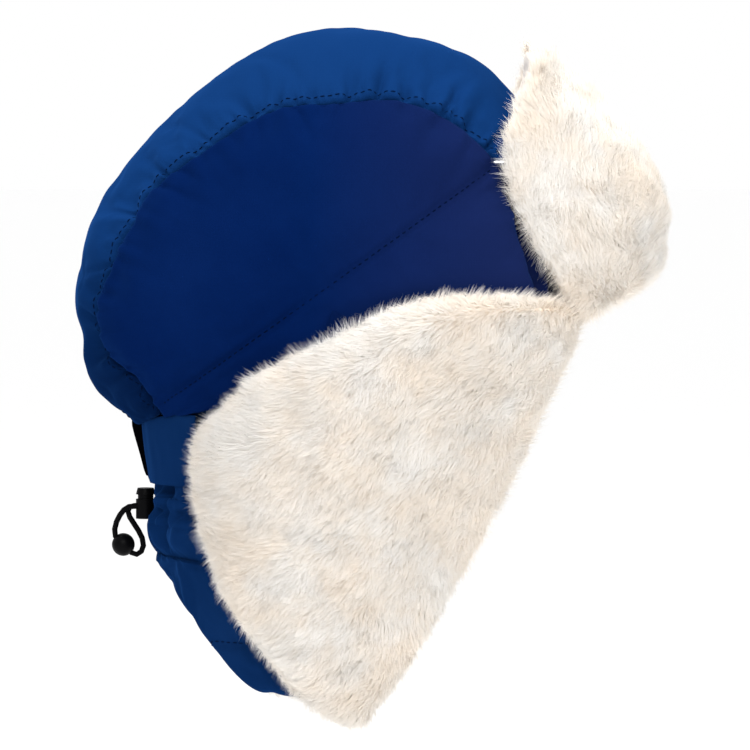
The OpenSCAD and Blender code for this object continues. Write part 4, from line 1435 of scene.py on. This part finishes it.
def all_fur():
    for side, turn in (("right", 1.0), ("left", -1.0)):
        ground = pieces[f"lapel_pile_ground_{side}"]
        for k in range(PIECES):
            fibres(
                f"lapel_pile_{side}_{k + 1}", ground, lapel_comb(turn), FIBRES_PER_PIECE, 8.0, 0.92,
                f"lapel_{side}", lapel_keep(turn), seed=100 + k,
            )
        fibres(
            f"lapel_guard_hair_{side}", ground, spread_comb(ground, 20, -40), FIBRES_PER_PIECE // 3, 9.5, 0.6,
            f"lapel_{side}", rim_keep(turn), seed=150, width=0.18, clump=2.6, pull=0.7,
        )
    for k in range(PIECES):
        fibres(
            f"visor_pile_{k + 1}", pieces["visor_pile_ground"], visor_comb(), FIBRES_PER_PIECE, 8.0, 0.85,
            "visor", visor_keep, seed=200 + k,
        )
    fibres(
        "visor_guard_hair", pieces["visor_pile_ground"], spread_comb(pieces["visor_pile_ground"], 122, 95),
        FIBRES_PER_PIECE // 3, 9.0, 0.7, "visor", visor_rim_keep, seed=250, width=0.18, clump=2.6, pull=0.7,
    )
    for k, (name, count) in enumerate((
        ("ear_flap_lining_right", 24000), ("ear_flap_lining_left", 24000), ("cheek_lining_right", 16000),
        ("cheek_lining_left", 16000), ("neck_guard_lining", 20000),
    )):
        ground = pieces[name]
        fibres(
            f"{name}_pile", ground, inner_comb(ground), count, 6.5, 0.9, "hat",
            inner_keep, seed=300 + k, width=0.4,
        )


all_fur()

# ---- Tabs ----

STRAP_Z = -34.8


def right_out(s):
    return mix(9.8, 3.6, smooth((s - 0.2) / 0.25))


def left_out(s):
    return 3.6 + 6.8 * smooth((s + 0.16) / 0.12) * smooth((0.4 - s) / 0.3)


def tab(name, s0, s1, out, width, slant, thick, lift, material, body, node, turn, tilt=0.0):
    u, v = uv_grid(90, 24)
    s = mix(s0, s1, u)
    z = STRAP_Z + width * (0.5 - v) + (1 - v) * 4.5 * smooth((s - 0.16) / 0.26)
    edge = np.minimum(v, 1 - v)
    swell = 0.35 * np.exp(-((edge * width / 1.2) ** 2))
    wave = 0.35 * noise(np.stack([u * 60, v * 12], -1), 22.0, 101) + tilt * (0.5 - v) * smooth(u / 0.4)
    far = hood_point(s + slant * (v - 0.5) * u, z, out(s) + lift + thick + wave - swell)
    near = hood_point(s + slant * (v - 0.5) * u, z, out(s) + lift + wave + swell)
    flip = np.array([1, turn, 1])
    obj = slab(name, near * flip, far * flip, material, body)
    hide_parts(node)
    return obj


tab("strap_webbing_right", 0.485, 0.16, right_out, 30, 0.03, 1.4, 0, NAVY_HOOD, "tab_right", "strap_right", 1)
tab("loop_tape_pile", 0.42, 0.18, right_out, 24, 0.03, 0.7, -0.9, LOOP_PILE, "tab_right", "loop_tape", 1)
tab("strap_webbing_left", 0.485, -0.30, left_out, 30, 0, 1.4, 0, NAVY_HOOD, "tab_left", "strap_left", -1, 4.0)
tab("hook_tape_pile", 0.14, -0.28, left_out, 26, 0, 0.8, 1.7, TAPE, "tab_left", "hook_tape", -1, 4.0)

# ---- CAD nodes that stay, with finished materials ----

KEPT = {
    BLACK_PLASTIC: ["cord_eyelet", "cord_lock_body", "cord_lock_button", "cord_bead"],
    CLEAR: ["visor_hook_right", "visor_hook_left", "visor_eye_right", "visor_eye_left"],
    STEEL: ["cord_lock_spring"],
    CORD: ["drawcord"],
}


def finish_kept():
    for material, names in KEPT.items():
        for name in names:
            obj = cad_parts[name]
            for slot in obj.material_slots:
                slot.material = material


finish_kept()

# ---- Floor and light ----


def floor():
    bpy.ops.mesh.primitive_plane_add(size=60, location=(0, 3, CAD_BOX[0][2] - 0.3))
    obj = bpy.context.object
    obj.name = "floor"
    obj.data.materials.append(FLOOR)


def area_light(name, place, target, size, power, colour=(1, 1, 1)):
    data = bpy.data.lights.new(name, "AREA")
    data.size = size
    data.energy = power
    data.color = colour
    obj = bpy.data.objects.new(name, data)
    bpy.context.scene.collection.objects.link(obj)
    obj.location = place
    aim = np.array(target) - np.array(place)
    from mathutils import Vector
    obj.rotation_euler = Vector(aim).to_track_quat("-Z", "Y").to_euler()


def lighting():
    world = bpy.data.worlds.new("studio")
    bpy.context.scene.world = world
    world.use_nodes = True
    world.node_tree.nodes["Background"].inputs["Color"].default_value = (1, 1, 1, 1)
    world.node_tree.nodes["Background"].inputs["Strength"].default_value = 1.0
    area_light("key", (-0.1, -2.3, 1.4), (0, 0, 0), 1.4, 43)
    area_light("fill", (1.6, -1.8, -0.5), (0.05, 0, 0), 1.4, 24)
    area_light("top", (-0.1, 0.1, 1.8), (0, 0, 0.05), 1.2, 34)
    bpy.context.scene.view_settings.view_transform = "Standard"


floor()
lighting()
